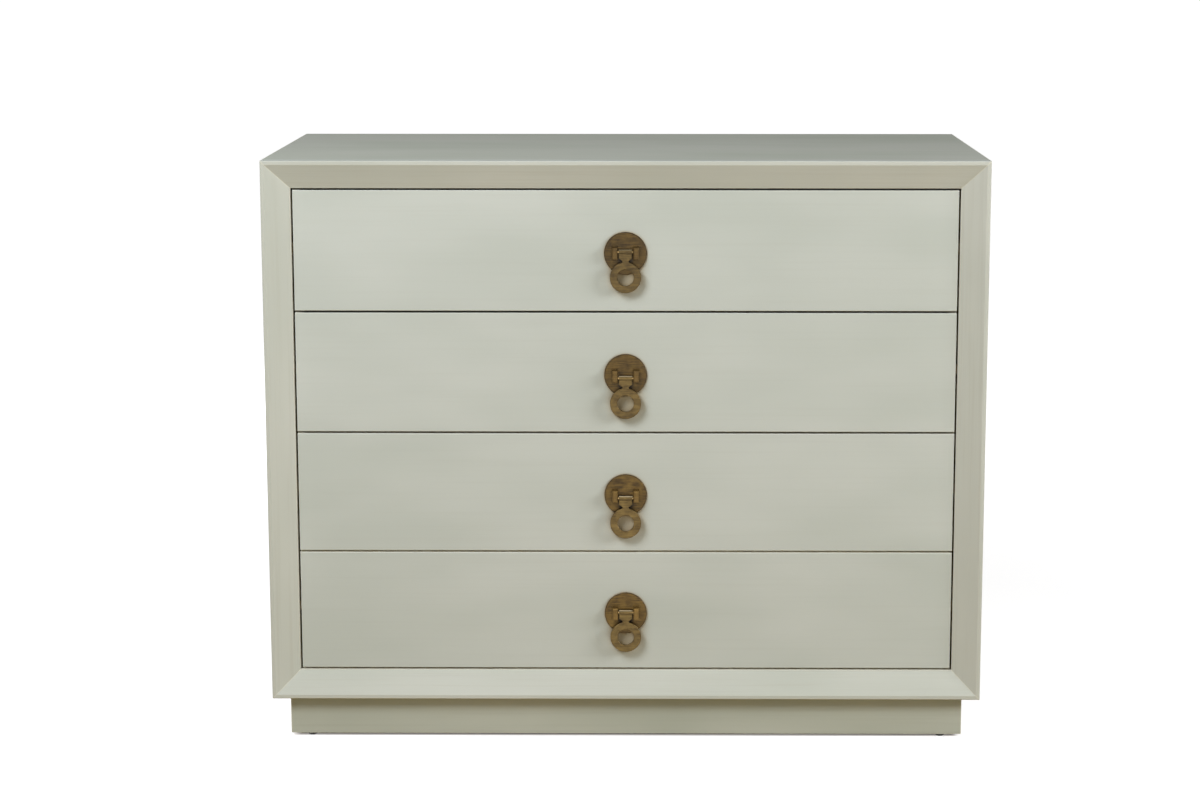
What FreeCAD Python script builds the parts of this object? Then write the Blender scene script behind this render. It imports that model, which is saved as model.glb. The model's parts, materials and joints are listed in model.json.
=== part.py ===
"""A painted chest of four drawers with ring pulls, as a parametric document.

Millimetres.  +Z is up, -Y is the front, and the origin lies on the floor under the
middle of the chest.  Each board, runner, screw and pull piece is an object of its own.
"""
import FreeCAD, Part
import Sketcher
import math
import os
import re

# Driving dimensions
SIZES = {
    # case
    "case_width": 1067,
    "case_depth": 483,
    "case_height": 814,
    "panel_thickness": 22,
    "spline_width": 16,
    "spline_thickness": 4,
    "spline_play": 0.3,
    "back_thickness": 9,
    "rebate_width": 11,
    "rebate_play": 0.5,
    # bevelled frame around the drawers
    "frame_width": 41.5,
    "frame_depth": 24,
    "frame_flat": 6,
    "bevel_depth": 16,
    "frame_round": 1.5,
    # plinth and glides
    "plinth_height": 58.5,
    "plinth_inset": 25.4,
    "plinth_front_inset": 16,
    "plinth_thickness": 20,
    "block_width": 40,
    "block_height": 50,
    "glide_height": 5,
    "glide_diameter": 14,
    "glide_round": 3,
    "glide_inset": 31,
    "glide_stem_diameter": 5,
    "glide_stem_length": 18,
    # drawer boxes
    "drawer_gap": 3,
    "front_thickness": 22,
    "front_round": 1,
    "side_thickness": 16,
    "side_rise": 6,
    "side_drop": 8,
    "drawer_back_thickness": 14,
    "rear_space": 20,
    "tail_lap": 8,
    "tail_width": 40,
    "bottom_thickness": 6,
    "bottom_lift": 10,
    "bottom_groove_depth": 6,
    "bottom_play": 0.3,
    # runners
    "runner_height": 16,
    "runner_groove_depth": 8,
    "runner_groove_stop": 32,
    "runner_play": 0.3,
    "runner_rear_gap": 4,
    "runner_lead": 3,
    # ring pulls
    "plate_diameter": 63,
    "plate_thickness": 3,
    "plate_edge": 0.8,
    "plate_drop": 3.5,
    "hinge_rise": 3.2,
    "hinge_reach": 10,
    "pin_diameter": 3,
    "pin_play": 0.05,
    "ear_spacing": 22.6,
    "ear_width": 9,
    "ear_reach": 13.5,
    "ear_near": 7,
    "ear_far": 12,
    "ear_round": 2.5,
    "boss_diameter": 8,
    "boss_length": 8,
    "boss_spacing": 32,
    "boss_play": 0.3,
    "knuckle_diameter": 7,
    "tab_width": 19.8,
    "tab_length": 9.5,
    "neck_width": 9.4,
    "neck_drop": 13,
    "neck_round": 1.5,
    "ring_diameter": 46,
    "ring_hole": 24.5,
    "ring_drop": 38,
    "ring_thickness": 4,
    "ring_edge": 0.5,
    # screws
    "screw_play": 0.05,
    "wood_screw_diameter": 4,
    "wood_screw_head": 8,
    "wood_screw_bite": 14,
    "wood_screw_sink": 0.5,
    "runner_screw_inset": 60,
    "back_screw_inset": 95,
    "machine_screw_diameter": 4,
    "machine_screw_head": 8,
    "machine_screw_head_height": 2.6,
    "machine_screw_bite": 6,
    # making
    "overrun": 2,
    "same_place": 0.001,
}
DRAWERS = 4
# The top and bottom pulls have their hinge above the middle of the plate.
# The two between them are fitted the other way up.
PLATE_TURNS = (1, -1, -1, 1)
TAILS = 3
TAIL_SLOPE_SHARE = 0.14
SPLINE_SEAT_SHARE = 0.65
BACK_SCREWS_ACROSS = 3
BACK_SCREWS_UP = 2
COUNTERSINK_ANGLE = 90
QUARTER_TURN = 90
HALF_TURN = 180

# Places worked out from the driving dimensions, as formulas
FRONT = "(0 - case_depth / 2)"
CASE_BOTTOM = "(glide_height + plinth_height)"
CASE_TOP = f"({CASE_BOTTOM} + case_height)"
CASE_MIDDLE = f"({CASE_BOTTOM} + case_height / 2)"
PANEL_DEPTH = "(case_depth - frame_depth)"
DRAWER_FACE = "(bevel_depth - case_depth / 2)"
DRAWER_WIDTH = "(case_width - 2 * frame_width - 2 * drawer_gap)"
FRONT_HEIGHT = f"((case_height - 2 * frame_width - {DRAWERS + 1} * drawer_gap) / {DRAWERS})"
PITCH = f"({FRONT_HEIGHT} + drawer_gap)"
LOWEST_DRAWER = f"({CASE_BOTTOM} + frame_width + drawer_gap)"
DRAWER_LENGTH = "(case_depth - bevel_depth - back_thickness - rear_space)"
SIDE_TOP = f"({FRONT_HEIGHT} - side_drop)"
SIDE_HEIGHT = f"({SIDE_TOP} - side_rise)"
BOTTOM_LEVEL = "(side_rise + bottom_lift)"
RUNNER_LEVEL = f"(side_rise + {SIDE_HEIGHT} / 2)"
INNER_HALF = "(case_width / 2 - panel_thickness)"
RUNNER_WIDTH = f"({INNER_HALF} - {DRAWER_WIDTH} / 2 + runner_groove_depth - runner_play)"
RUNNER_FRONT = f"({DRAWER_FACE} + runner_groove_stop + runner_play)"
RUNNER_BACK = "(case_depth / 2 - back_thickness - runner_rear_gap)"
PLATE_LEVEL = f"({FRONT_HEIGHT} / 2 - plate_drop)"
PLINTH_WIDTH = "(case_width - 2 * plinth_inset)"
PLINTH_DEPTH = "(case_depth - plinth_front_inset - plinth_inset)"
PLINTH_MIDDLE = "((plinth_front_inset - plinth_inset) / 2)"

doc = FreeCAD.newDocument("chest")
sheet = doc.addObject("Spreadsheet::Sheet", "Sizes")
for line, (size_name, size_value) in enumerate(SIZES.items(), 1):
    sheet.set(f"A{line}", size_name)
    sheet.set(f"B{line}", str(size_value))
    sheet.setAlias(f"B{line}", size_name)
doc.recompute()
nodes = []


def formula(text):
    """Give a formula in size names as an expression on the sheet."""
    return re.sub(r"[a-z_]+", lambda word: f"Sizes.{word[0]}" if word[0] in SIZES else word[0], text)


def bind(thing, **formulas):
    for name, text in formulas.items():
        thing.setExpression(name, formula(text))


def place(thing, x="0", y="0", z="0"):
    for axis, text in zip("xyz", (x, y, z)):
        thing.setExpression(f".Placement.Base.{axis}", formula(text))


def new_body(name):
    body = doc.addObject("PartDesign::Body", name)
    body.Label = name
    nodes.append(body)
    return body


def origin_part(body, role):
    return next(part for part in body.Origin.OriginFeatures if part.Role == role)


def new_sketch(body, what, role, offset="0"):
    """Start a sketch on one of the body's own planes, moved along the plane's normal."""
    sketch = body.newObject("Sketcher::SketchObject", f"{body.Name}_{what}_sketch")
    sketch.AttachmentSupport = [(origin_part(body, role), "")]
    sketch.MapMode = "FlatFace"
    sketch.setExpression(".AttachmentOffset.Base.z", formula(offset))
    return sketch


def tie(sketch, kind, geometry, point, text, value):
    index = sketch.addConstraint(Sketcher.Constraint(kind, -1, 1, geometry, point, value))
    sketch.setExpression(f"Constraints[{index}]", formula(text))


def draw_loop(sketch, corners):
    """Draw a closed outline whose corners are tied to their formulas."""
    first = sketch.GeometryCount
    count = len(corners)
    turns = [2 * math.pi * step / count for step in range(count)]
    rough = [FreeCAD.Vector(math.cos(turn), math.sin(turn), 0) for turn in turns]
    for step in range(count):
        sketch.addGeometry(Part.LineSegment(rough[step], rough[(step + 1) % count]))
    for step in range(count):
        following = first + (step + 1) % count
        sketch.addConstraint(Sketcher.Constraint("Coincident", first + step, 2, following, 1))
    for step, (across, up) in enumerate(corners):
        tie(sketch, "DistanceX", first + step, 1, across, rough[step].x)
        tie(sketch, "DistanceY", first + step, 1, up, rough[step].y)


def draw_rectangle(sketch, left, right, low, high):
    draw_loop(sketch, [(left, low), (right, low), (right, high), (left, high)])


def draw_circle(sketch, across, up, diameter):
    geometry = sketch.addGeometry(Part.Circle(FreeCAD.Vector(), FreeCAD.Vector(0, 0, 1), 1))
    tie(sketch, "DistanceX", geometry, 3, across, 1)
    tie(sketch, "DistanceY", geometry, 3, up, 1)
    index = sketch.addConstraint(Sketcher.Constraint("Diameter", geometry, 1))
    sketch.setExpression(f"Constraints[{index}]", formula(diameter))


def add_feature(body, kind, sketch, length, back=False, both=False):
    """Pad or pocket a sketch: along the normal, back along it, or half to each side."""
    what = sketch.Name.removesuffix("_sketch")
    feature = body.newObject(f"PartDesign::{kind}", f"{what}_{kind.lower()}")
    feature.Profile = sketch
    feature.Reversed = back
    feature.Midplane = both
    bind(feature, Length=length)
    body.Tip = feature
    return feature


def pad(body, sketch, length, back=False, both=False):
    return add_feature(body, "Pad", sketch, length, back, both)


def pocket(body, sketch, length, back=False, both=False):
    return add_feature(body, "Pocket", sketch, length, back, both)


def revolve(body, sketch):
    feature = body.newObject("PartDesign::Revolution", f"{body.Name}_turned")
    feature.Profile = sketch
    feature.ReferenceAxis = (sketch, ["V_Axis"])
    body.Tip = feature
    return feature


def mirror(body, role, originals=None):
    """Repeat some features, or the whole body so far, on the other side of a plane."""
    feature = body.newObject("PartDesign::Mirrored", f"{body.Name}_{role.lower()}_mirror")
    if originals:
        feature.Originals = originals
    else:
        feature.TransformMode = "Whole shape"
    feature.MirrorPlane = (origin_part(body, role), [""])
    body.Tip = feature
    return feature


def repeat(body, role, length, count):
    """Repeat the whole body so far in a row along an axis."""
    feature = body.newObject("PartDesign::LinearPattern", f"{body.Name}_{role.lower()}_row")
    feature.TransformMode = "Whole shape"
    feature.Direction = (origin_part(body, role), [""])
    bind(feature, Length=length)
    feature.Occurrences = count
    body.Tip = feature
    return feature


def size(name):
    return float(sheet.get(name))


def soften(body, kind, what, wanted, **sizes):
    """Fillet or chamfer the edges of the body so far that the test picks."""
    doc.recompute()
    base = body.Tip
    names = [f"Edge{place}" for place, edge in enumerate(base.Shape.Edges, 1) if wanted(edge)]
    feature = body.newObject(f"PartDesign::{kind}", f"{body.Name}_{what}")
    feature.Base = (base, names)
    bind(feature, **sizes)
    body.Tip = feature
    return feature


def lies_at(edge, axis, value):
    """Tell whether a whole edge lies in the plane where an axis has this value."""
    box = edge.BoundBox
    near = size("same_place")
    return abs(getattr(box, f"{axis}Min") - value) < near and abs(getattr(box, f"{axis}Max") - value) < near


def mitre_notch(sign, depth):
    """Corners of the spline slot in one mitred end, from the outside in.

    The end's outer corner is half the panel's length away on the side of sign.
    """
    half = "spline_thickness * sqrt(2) / 4"
    deep = f"({depth}) * sqrt(2) / 2"
    seat = f"panel_thickness * {SPLINE_SEAT_SHARE}"
    near = f"({seat} - {half})"
    far = f"({seat} + {half})"
    steps = ((near, near), (f"({near} + {deep})", f"({near} - {deep})"),
             (f"({far} + {deep})", f"({far} - {deep})"), (far, far))
    return [(f"{sign} * (panel_half - {inward})", f"0 - {down}") for inward, down in steps]


def case_panel(name, length, turn, holes):
    """A mitred board of the case, drawn as the top and turned to its side.

    Its outer face is at height 0, its front edge at depth 0.
    """
    body = new_body(name)
    half = f"({length} / 2)"
    slot = "spline_width / 2 + spline_play"
    right = [(across.replace("panel_half", half), up) for across, up in mitre_notch(1, slot)]
    left = [(across.replace("panel_half", half), up) for across, up in mitre_notch(-1, slot)]
    section = new_sketch(body, "section", "XZ_Plane")
    draw_loop(section, [
        (f"0 - {half}", "0"), (half, "0"), *right,
        (f"{half} - panel_thickness", "0 - panel_thickness"),
        (f"panel_thickness - {half}", "0 - panel_thickness"), *reversed(left)])
    pad(body, section, PANEL_DEPTH, back=True)
    reach = f"({half} - panel_thickness + rebate_width)"
    rebate = new_sketch(body, "rebate", "XZ_Plane", f"0 - {PANEL_DEPTH}")
    draw_rectangle(rebate, f"0 - {reach}", reach,
                   "0 - panel_thickness - overrun", "rebate_width - panel_thickness")
    pocket(body, rebate, "back_thickness", back=True)
    pilots = new_sketch(body, "pilots", "XZ_Plane", f"back_thickness - {PANEL_DEPTH}")
    for across in holes:
        draw_circle(pilots, across, "rebate_width / 2 - panel_thickness",
                    "wood_screw_diameter + 2 * screw_play")
    pocket(body, pilots, "wood_screw_bite + screw_play", back=True)
    body.Placement.Rotation = FreeCAD.Rotation(FreeCAD.Vector(0, 1, 0), turn)
    return body


def spread(steps, reach):
    """Formulas for places spread evenly from -reach to +reach, one for each step."""
    return [f"({reach} * {2 * step / (len(steps) - 1) - 1})" for step in steps]


def build_case():
    across = spread(range(BACK_SCREWS_ACROSS), "(case_width / 2 - back_screw_inset)")
    along = spread(range(BACK_SCREWS_UP), "(case_height / 2 - back_screw_inset)")
    shell_front = f"({FRONT} + frame_depth)"
    top = case_panel("top_panel", "case_width", 0, across)
    place(top, y=shell_front, z=CASE_TOP)
    bottom = case_panel("case_bottom", "case_width", HALF_TURN, across)
    block_screw = "(plinth_thickness + block_width / 2)"
    anchors = new_sketch(bottom, "anchors", "XY_Plane")
    for side in (-1, 1):
        for end in (-1, 1):
            middle = f"(case_depth / 2 - frame_depth + {PLINTH_MIDDLE})"
            draw_circle(anchors, f"{side} * ({PLINTH_WIDTH} / 2 - {block_screw})",
                        f"{middle} + {end} * ({PLINTH_DEPTH} / 2 - {block_screw})",
                        "wood_screw_diameter + 2 * screw_play")
    pocket(bottom, anchors, "wood_screw_bite + screw_play")
    place(bottom, y=shell_front, z=CASE_BOTTOM)
    for name, side in (("left_side_panel", -1), ("right_side_panel", 1)):
        panel = case_panel(name, "case_height", side * QUARTER_TURN, along)
        pilots = new_sketch(panel, "runner_pilots", "XY_Plane", "0 - panel_thickness")
        for drawer in range(DRAWERS):
            level = f"({LOWEST_DRAWER} + {drawer} * {PITCH} + {RUNNER_LEVEL} - {CASE_MIDDLE})"
            for end in runner_screw_places():
                draw_circle(pilots, f"{-side} * {level}", f"{end} - {shell_front}",
                            "wood_screw_diameter + 2 * screw_play")
        pocket(panel, pilots, "wood_screw_bite + screw_play", back=True)
        place(panel, f"{side} * case_width / 2", shell_front, CASE_MIDDLE)
    build_splines(shell_front)
    build_back(across, along)


def build_splines(front):
    """Loose tongues in the four mitres of the case."""
    body = new_body("mitre_splines")
    half_thick = "spline_thickness * sqrt(2) / 4"
    half_wide = "spline_width * sqrt(2) / 4"
    seat = f"panel_thickness * {SPLINE_SEAT_SHARE}"
    across = f"(case_width / 2 - {seat})"
    up = f"(case_height / 2 - {seat})"
    section = new_sketch(body, "section", "XZ_Plane")
    draw_loop(section, [
        (f"{across} + {half_thick} - {half_wide}", f"{up} + {half_thick} + {half_wide}"),
        (f"{across} - {half_thick} - {half_wide}", f"{up} - {half_thick} + {half_wide}"),
        (f"{across} - {half_thick} + {half_wide}", f"{up} - {half_thick} - {half_wide}"),
        (f"{across} + {half_thick} + {half_wide}", f"{up} + {half_thick} - {half_wide}")])
    pad(body, section, f"{PANEL_DEPTH} - back_thickness", back=True)
    mirror(body, "YZ_Plane")
    mirror(body, "XY_Plane")
    place(body, y=front, z=CASE_MIDDLE)


def build_back(across, along):
    """The back panel in its rebates, and the screws around its edge."""
    inset = "(panel_thickness - rebate_width + rebate_play)"
    line = "(panel_thickness - rebate_width / 2)"
    body = new_body("back_panel")
    outline = new_sketch(body, "outline", "XZ_Plane")
    draw_rectangle(outline, f"{inset} - case_width / 2", f"case_width / 2 - {inset}",
                   f"{inset} - case_height / 2", f"case_height / 2 - {inset}")
    pad(body, outline, "back_thickness")
    places = [(spot, f"{side} * (case_height / 2 - {line})") for side in (-1, 1) for spot in across]
    places += [(f"{side} * (case_width / 2 - {line})", spot) for side in (-1, 1) for spot in along]
    sunk_holes(body, "XZ_Plane", "0", places, "back_thickness", back=True)
    place(body, y="case_depth / 2", z=CASE_MIDDLE)
    screws = []
    for spot in places:
        screw = wood_screw(f"back_panel_screw_{len(screws) + 1}", "back_thickness")
        screw.Placement.Rotation = FreeCAD.Rotation(FreeCAD.Vector(1, 0, 0), -QUARTER_TURN)
        place(screw, spot[0], "case_depth / 2 - wood_screw_sink", f"{CASE_MIDDLE} + {spot[1]}")
        screws.append(screw)
    gather("back_panel_screws", screws)


def gather(name, pieces):
    """Keep identical pieces as one group of separate solids."""
    group = doc.addObject("Part::Compound", name)
    group.Links = pieces
    nodes.append(group)


def wood_screw(name, clamped):
    """A countersunk screw with its flat head at height 0, down through what it clamps."""
    screw = doc.addObject("PartDesign::Body", name)
    section = new_sketch(screw, "section", "XZ_Plane")
    length = f"({clamped} - wood_screw_sink + wood_screw_bite)"
    draw_loop(section, [
        ("0", "0"), ("wood_screw_head / 2", "0"),
        ("wood_screw_diameter / 2", "(wood_screw_diameter - wood_screw_head) / 2"),
        ("wood_screw_diameter / 2", f"wood_screw_diameter / 2 - {length}"), ("0", f"0 - {length}")])
    revolve(screw, section)
    return screw


def sunk_holes(body, role, offset, places, depth, back):
    """Clear holes with conical seats for wood screws, from the sketch plane inwards."""
    spots = new_sketch(body, "screw_spots", role, offset)
    for spot in places:
        draw_circle(spots, *spot, "wood_screw_diameter")
    doc.recompute()
    holes = body.newObject("PartDesign::Hole", f"{body.Name}_screw_holes")
    holes.Profile = spots
    doc.recompute()
    holes.Reversed = back
    holes.Threaded = False
    holes.DepthType = "Dimension"
    holes.DrillPoint = "Flat"
    holes.HoleCutType = "Countersink"
    holes.HoleCutCustomValues = True
    holes.HoleCutCountersinkAngle = COUNTERSINK_ANGLE
    bind(holes, Diameter="wood_screw_diameter + 2 * screw_play", Depth=depth,
         HoleCutDiameter="wood_screw_head + 2 * wood_screw_sink + 2 * screw_play")
    body.Tip = holes


def frame_member(name, length, turn):
    """A mitred, bevelled member of the front frame, drawn as the top rail."""
    body = new_body(name)
    section = new_sketch(body, "section", "YZ_Plane")
    draw_loop(section, [
        ("0", "0"), ("0", "0 - frame_flat"), ("bevel_depth", "0 - frame_width"),
        ("frame_depth", "0 - frame_width"), ("frame_depth", "0")])
    pad(body, section, length, both=True)
    mitres = new_sketch(body, "mitres", "XZ_Plane")
    for side in (-1, 1):
        draw_loop(mitres, [
            (f"{side} * ({length} / 2 + overrun)", "overrun"),
            (f"{side} * ({length} / 2 - frame_width - overrun)", "0 - frame_width - overrun"),
            (f"{side} * ({length} / 2 + overrun)", "0 - frame_width - overrun")])
    pocket(body, mitres, "3 * frame_depth", both=True)
    soften(body, "Fillet", "edge", lambda edge: lies_at(edge, "Y", 0) and lies_at(edge, "Z", 0),
           Radius="frame_round")
    body.Placement.Rotation = FreeCAD.Rotation(FreeCAD.Vector(0, 1, 0), turn)
    return body


def build_frame():
    place(frame_member("frame_top_rail", "case_width", 0), y=FRONT, z=CASE_TOP)
    place(frame_member("frame_bottom_rail", "case_width", HALF_TURN), y=FRONT, z=CASE_BOTTOM)
    for name, side in (("frame_left_stile", -1), ("frame_right_stile", 1)):
        stile = frame_member(name, "case_height", side * QUARTER_TURN)
        place(stile, f"{side} * case_width / 2", FRONT, CASE_MIDDLE)


def plinth_board(name, length, turn, glides):
    """A mitred plinth board, drawn as the front one with its outer face at depth 0."""
    body = new_body(name)
    outline = new_sketch(body, "outline", "XY_Plane")
    draw_loop(outline, [
        (f"0 - {length} / 2", "0"), (f"{length} / 2", "0"),
        (f"{length} / 2 - plinth_thickness", "plinth_thickness"),
        (f"plinth_thickness - {length} / 2", "plinth_thickness")])
    pad(body, outline, "plinth_height")
    if glides:
        sockets = new_sketch(body, "sockets", "XY_Plane")
        for side in (-1, 1):
            draw_circle(sockets, f"{side} * ({length} / 2 - glide_inset)", "plinth_thickness / 2",
                        "glide_stem_diameter + 2 * screw_play")
        pocket(body, sockets, "glide_stem_length + screw_play", back=True)
    body.Placement.Rotation = FreeCAD.Rotation(FreeCAD.Vector(0, 0, 1), turn)
    return body


def build_plinth():
    for name, turn, side in (("plinth_front", 0, -1), ("plinth_back", HALF_TURN, 1)):
        board = plinth_board(name, PLINTH_WIDTH, turn, True)
        place(board, y=f"{PLINTH_MIDDLE} + {side} * {PLINTH_DEPTH} / 2", z="glide_height")
    for name, turn, side in (("plinth_right", QUARTER_TURN, 1), ("plinth_left", -QUARTER_TURN, -1)):
        board = plinth_board(name, PLINTH_DEPTH, turn, False)
        place(board, f"{side} * {PLINTH_WIDTH} / 2", PLINTH_MIDDLE, "glide_height")
    across = f"({PLINTH_WIDTH} / 2 - plinth_thickness)"
    deep = f"({PLINTH_DEPTH} / 2 - plinth_thickness)"
    spot = (f"{across} - block_width / 2", f"{deep} - block_width / 2")
    blocks = new_body("plinth_corner_blocks")
    outline = new_sketch(blocks, "outline", "XY_Plane")
    draw_rectangle(outline, f"{across} - block_width", across, f"{deep} - block_width", deep)
    pad(blocks, outline, "block_height", back=True)
    sunk_holes(blocks, "XY_Plane", "0 - block_height", [spot], "block_height", back=True)
    mirror(blocks, "YZ_Plane")
    mirror(blocks, "XZ_Plane")
    place(blocks, y=PLINTH_MIDDLE, z=CASE_BOTTOM)
    screws = []
    for side in (-1, 1):
        for end in (-1, 1):
            screw = wood_screw(f"plinth_screw_{len(screws) + 1}", "block_height")
            screw.Placement.Rotation = FreeCAD.Rotation(FreeCAD.Vector(1, 0, 0), HALF_TURN)
            place(screw, f"{side} * ({spot[0]})", f"{PLINTH_MIDDLE} + {end} * ({spot[1]})",
                  f"{CASE_BOTTOM} - block_height + wood_screw_sink")
            screws.append(screw)
    gather("plinth_screws", screws)
    build_glides()


def build_glides():
    """Dark screw-in glides under the front and back plinth boards."""
    glides = []
    for side in (-1, 1):
        for end in (-1, 1):
            glide = doc.addObject("PartDesign::Body", f"glide_{len(glides) + 1}")
            section = new_sketch(glide, "section", "XZ_Plane")
            draw_loop(section, [
                ("0", "0"), ("glide_diameter / 2", "0"), ("glide_diameter / 2", "glide_height"),
                ("glide_stem_diameter / 2", "glide_height"),
                ("glide_stem_diameter / 2", "glide_height + glide_stem_length"),
                ("0", "glide_height + glide_stem_length")])
            revolve(glide, section)
            soften(glide, "Fillet", "edge", lambda edge: lies_at(edge, "Z", 0), Radius="glide_round")
            place(glide, f"{side} * ({PLINTH_WIDTH} / 2 - glide_inset)",
                  f"{PLINTH_MIDDLE} + {end} * ({PLINTH_DEPTH} / 2 - plinth_thickness / 2)")
            glides.append(glide)
    gather("glides", glides)


def runner_screw_places():
    return (f"({RUNNER_FRONT} + runner_screw_inset)", f"({RUNNER_BACK} - runner_screw_inset)")


def build_runners():
    """Side-hung wooden runners, four to a side, and their screws."""
    screws = []
    level = f"({LOWEST_DRAWER} + {RUNNER_LEVEL})"
    for name, side in (("left_runners", -1), ("right_runners", 1)):
        body = new_body(name)
        face = f"({INNER_HALF} - {RUNNER_WIDTH})"
        outline = new_sketch(body, "outline", "XY_Plane", "0 - runner_height / 2")
        draw_loop(outline, [
            (f"{side} * {INNER_HALF}", RUNNER_FRONT), (f"{side} * {INNER_HALF}", RUNNER_BACK),
            (f"{side} * {face}", RUNNER_BACK), (f"{side} * {face}", f"{RUNNER_FRONT} + runner_lead"),
            (f"{side} * ({face} + runner_lead)", RUNNER_FRONT)])
        pad(body, outline, "runner_height")
        sunk_holes(body, "YZ_Plane", f"{side} * {face}", [(end, "0") for end in runner_screw_places()],
                   RUNNER_WIDTH, back=side > 0)
        repeat(body, "Z_Axis", f"{DRAWERS - 1} * {PITCH}", DRAWERS)
        place(body, z=level)
        for drawer in range(DRAWERS):
            for end in runner_screw_places():
                screw = wood_screw(f"runner_screw_{len(screws) + 1}", RUNNER_WIDTH)
                screw.Placement.Rotation = FreeCAD.Rotation(FreeCAD.Vector(0, 1, 0), -QUARTER_TURN * side)
                place(screw, f"{side} * ({face} + wood_screw_sink)", end, f"{level} + {drawer} * {PITCH}")
                screws.append(screw)
    gather("runner_screws", screws)


def tail_middle(tail):
    return f"(side_rise + {SIDE_HEIGHT} * {(tail + 0.5) / TAILS})"


def tail_corners(tail, base, tip, length):
    """Corners of one dovetail, up its flared outline from base to tip and back."""
    waist = f"(tail_width / 2 - {TAIL_SLOPE_SHARE} * {length})"
    middle = tail_middle(tail)
    return [(base, f"{middle} - {waist}"), (tip, f"{middle} - tail_width / 2"),
            (tip, f"{middle} + tail_width / 2"), (base, f"{middle} + {waist}")]


def front_tails():
    return [tail_corners(tail, "front_thickness", "tail_lap", "(front_thickness - tail_lap)")
            for tail in range(TAILS)]


def rear_tails():
    """The dovetails at the drawer's back.  The lowest reaches down past the bottom board."""
    tails = [tail_corners(tail, f"{DRAWER_LENGTH} - drawer_back_thickness", DRAWER_LENGTH,
                          "drawer_back_thickness") for tail in range(TAILS)]
    tails[0][0] = (tails[0][0][0], "side_rise")
    tails[0][1] = (tails[0][1][0], "side_rise")
    return tails


def drawer_front(prefix):
    body = new_body(f"{prefix}_front")
    outline = new_sketch(body, "outline", "XZ_Plane")
    draw_rectangle(outline, f"0 - {DRAWER_WIDTH} / 2", f"{DRAWER_WIDTH} / 2", "0", FRONT_HEIGHT)
    pad(body, outline, "front_thickness", back=True)
    soften(body, "Fillet", "edges", lambda edge: lies_at(edge, "Y", 0), Radius="front_round")
    sockets = new_sketch(body, "sockets", "YZ_Plane", f"{DRAWER_WIDTH} / 2")
    for corners in front_tails():
        draw_loop(sockets, corners)
    cut = pocket(body, sockets, "side_thickness")
    mirror(body, "YZ_Plane", [cut])
    groove = new_sketch(body, "groove", "XZ_Plane", "0 - front_thickness")
    reach = f"({DRAWER_WIDTH} / 2 - side_thickness + bottom_groove_depth)"
    draw_rectangle(groove, f"0 - {reach}", reach, BOTTOM_LEVEL,
                   f"{BOTTOM_LEVEL} + bottom_thickness + bottom_play")
    pocket(body, groove, "bottom_groove_depth", back=True)
    sinks = new_sketch(body, "boss_holes", "XZ_Plane")
    holes = new_sketch(body, "screw_holes", "XZ_Plane")
    for side in (-1, 1):
        spot = (f"{side} * boss_spacing / 2", PLATE_LEVEL)
        draw_circle(sinks, *spot, "boss_diameter + 2 * boss_play")
        draw_circle(holes, *spot, "machine_screw_diameter + 2 * boss_play")
    pocket(body, sinks, "boss_length + boss_play")
    pocket(body, holes, "front_thickness")
    return body


def drawer_side(prefix, hand, side):
    """One dovetailed side, with the runner's groove outside and the bottom's inside."""
    body = new_body(f"{prefix}_{hand}_side")
    outer = f"{side} * {DRAWER_WIDTH} / 2"
    inner = f"{side} * ({DRAWER_WIDTH} / 2 - side_thickness)"
    front = [corner for corners in front_tails() for corner in corners]
    rear = [corner for corners in rear_tails()[1:] for corner in corners]
    lowest = rear_tails()[0]
    outline = new_sketch(body, "outline", "YZ_Plane", outer)
    draw_loop(outline, [
        ("front_thickness", "side_rise"), *front, ("front_thickness", SIDE_TOP),
        (f"{DRAWER_LENGTH} - drawer_back_thickness", SIDE_TOP), *reversed(rear),
        lowest[3], lowest[2], lowest[1]])
    pad(body, outline, "side_thickness", back=side > 0)
    track = new_sketch(body, "track", "YZ_Plane", outer)
    half = "(runner_height / 2 + runner_play)"
    draw_rectangle(track, "runner_groove_stop", f"{DRAWER_LENGTH} + overrun",
                   f"{RUNNER_LEVEL} - {half}", f"{RUNNER_LEVEL} + {half}")
    pocket(body, track, "runner_groove_depth", back=side < 0)
    groove = new_sketch(body, "groove", "YZ_Plane", inner)
    draw_rectangle(groove, "0 - overrun", f"{DRAWER_LENGTH} + overrun", BOTTOM_LEVEL,
                   f"{BOTTOM_LEVEL} + bottom_thickness + bottom_play")
    pocket(body, groove, "bottom_groove_depth", back=side > 0)
    return body


def drawer_back(prefix):
    body = new_body(f"{prefix}_back")
    outline = new_sketch(body, "outline", "XZ_Plane", f"drawer_back_thickness - {DRAWER_LENGTH}")
    draw_rectangle(outline, f"0 - {DRAWER_WIDTH} / 2", f"{DRAWER_WIDTH} / 2",
                   f"{BOTTOM_LEVEL} + bottom_thickness", SIDE_TOP)
    pad(body, outline, "drawer_back_thickness", back=True)
    sockets = new_sketch(body, "sockets", "YZ_Plane", f"{DRAWER_WIDTH} / 2")
    for corners in rear_tails():
        draw_loop(sockets, corners)
    cut = pocket(body, sockets, "side_thickness")
    mirror(body, "YZ_Plane", [cut])
    return body


def drawer_bottom(prefix):
    board = doc.addObject("Part::Box", f"{prefix}_bottom")
    reach = f"({DRAWER_WIDTH} / 2 - side_thickness + bottom_groove_depth - bottom_play)"
    start = "(front_thickness - bottom_groove_depth + bottom_play)"
    bind(board, Length=f"2 * {reach}", Width=f"{DRAWER_LENGTH} - {start}", Height="bottom_thickness")
    nodes.append(board)
    return board, (f"0 - {reach}", start, BOTTOM_LEVEL)


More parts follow.
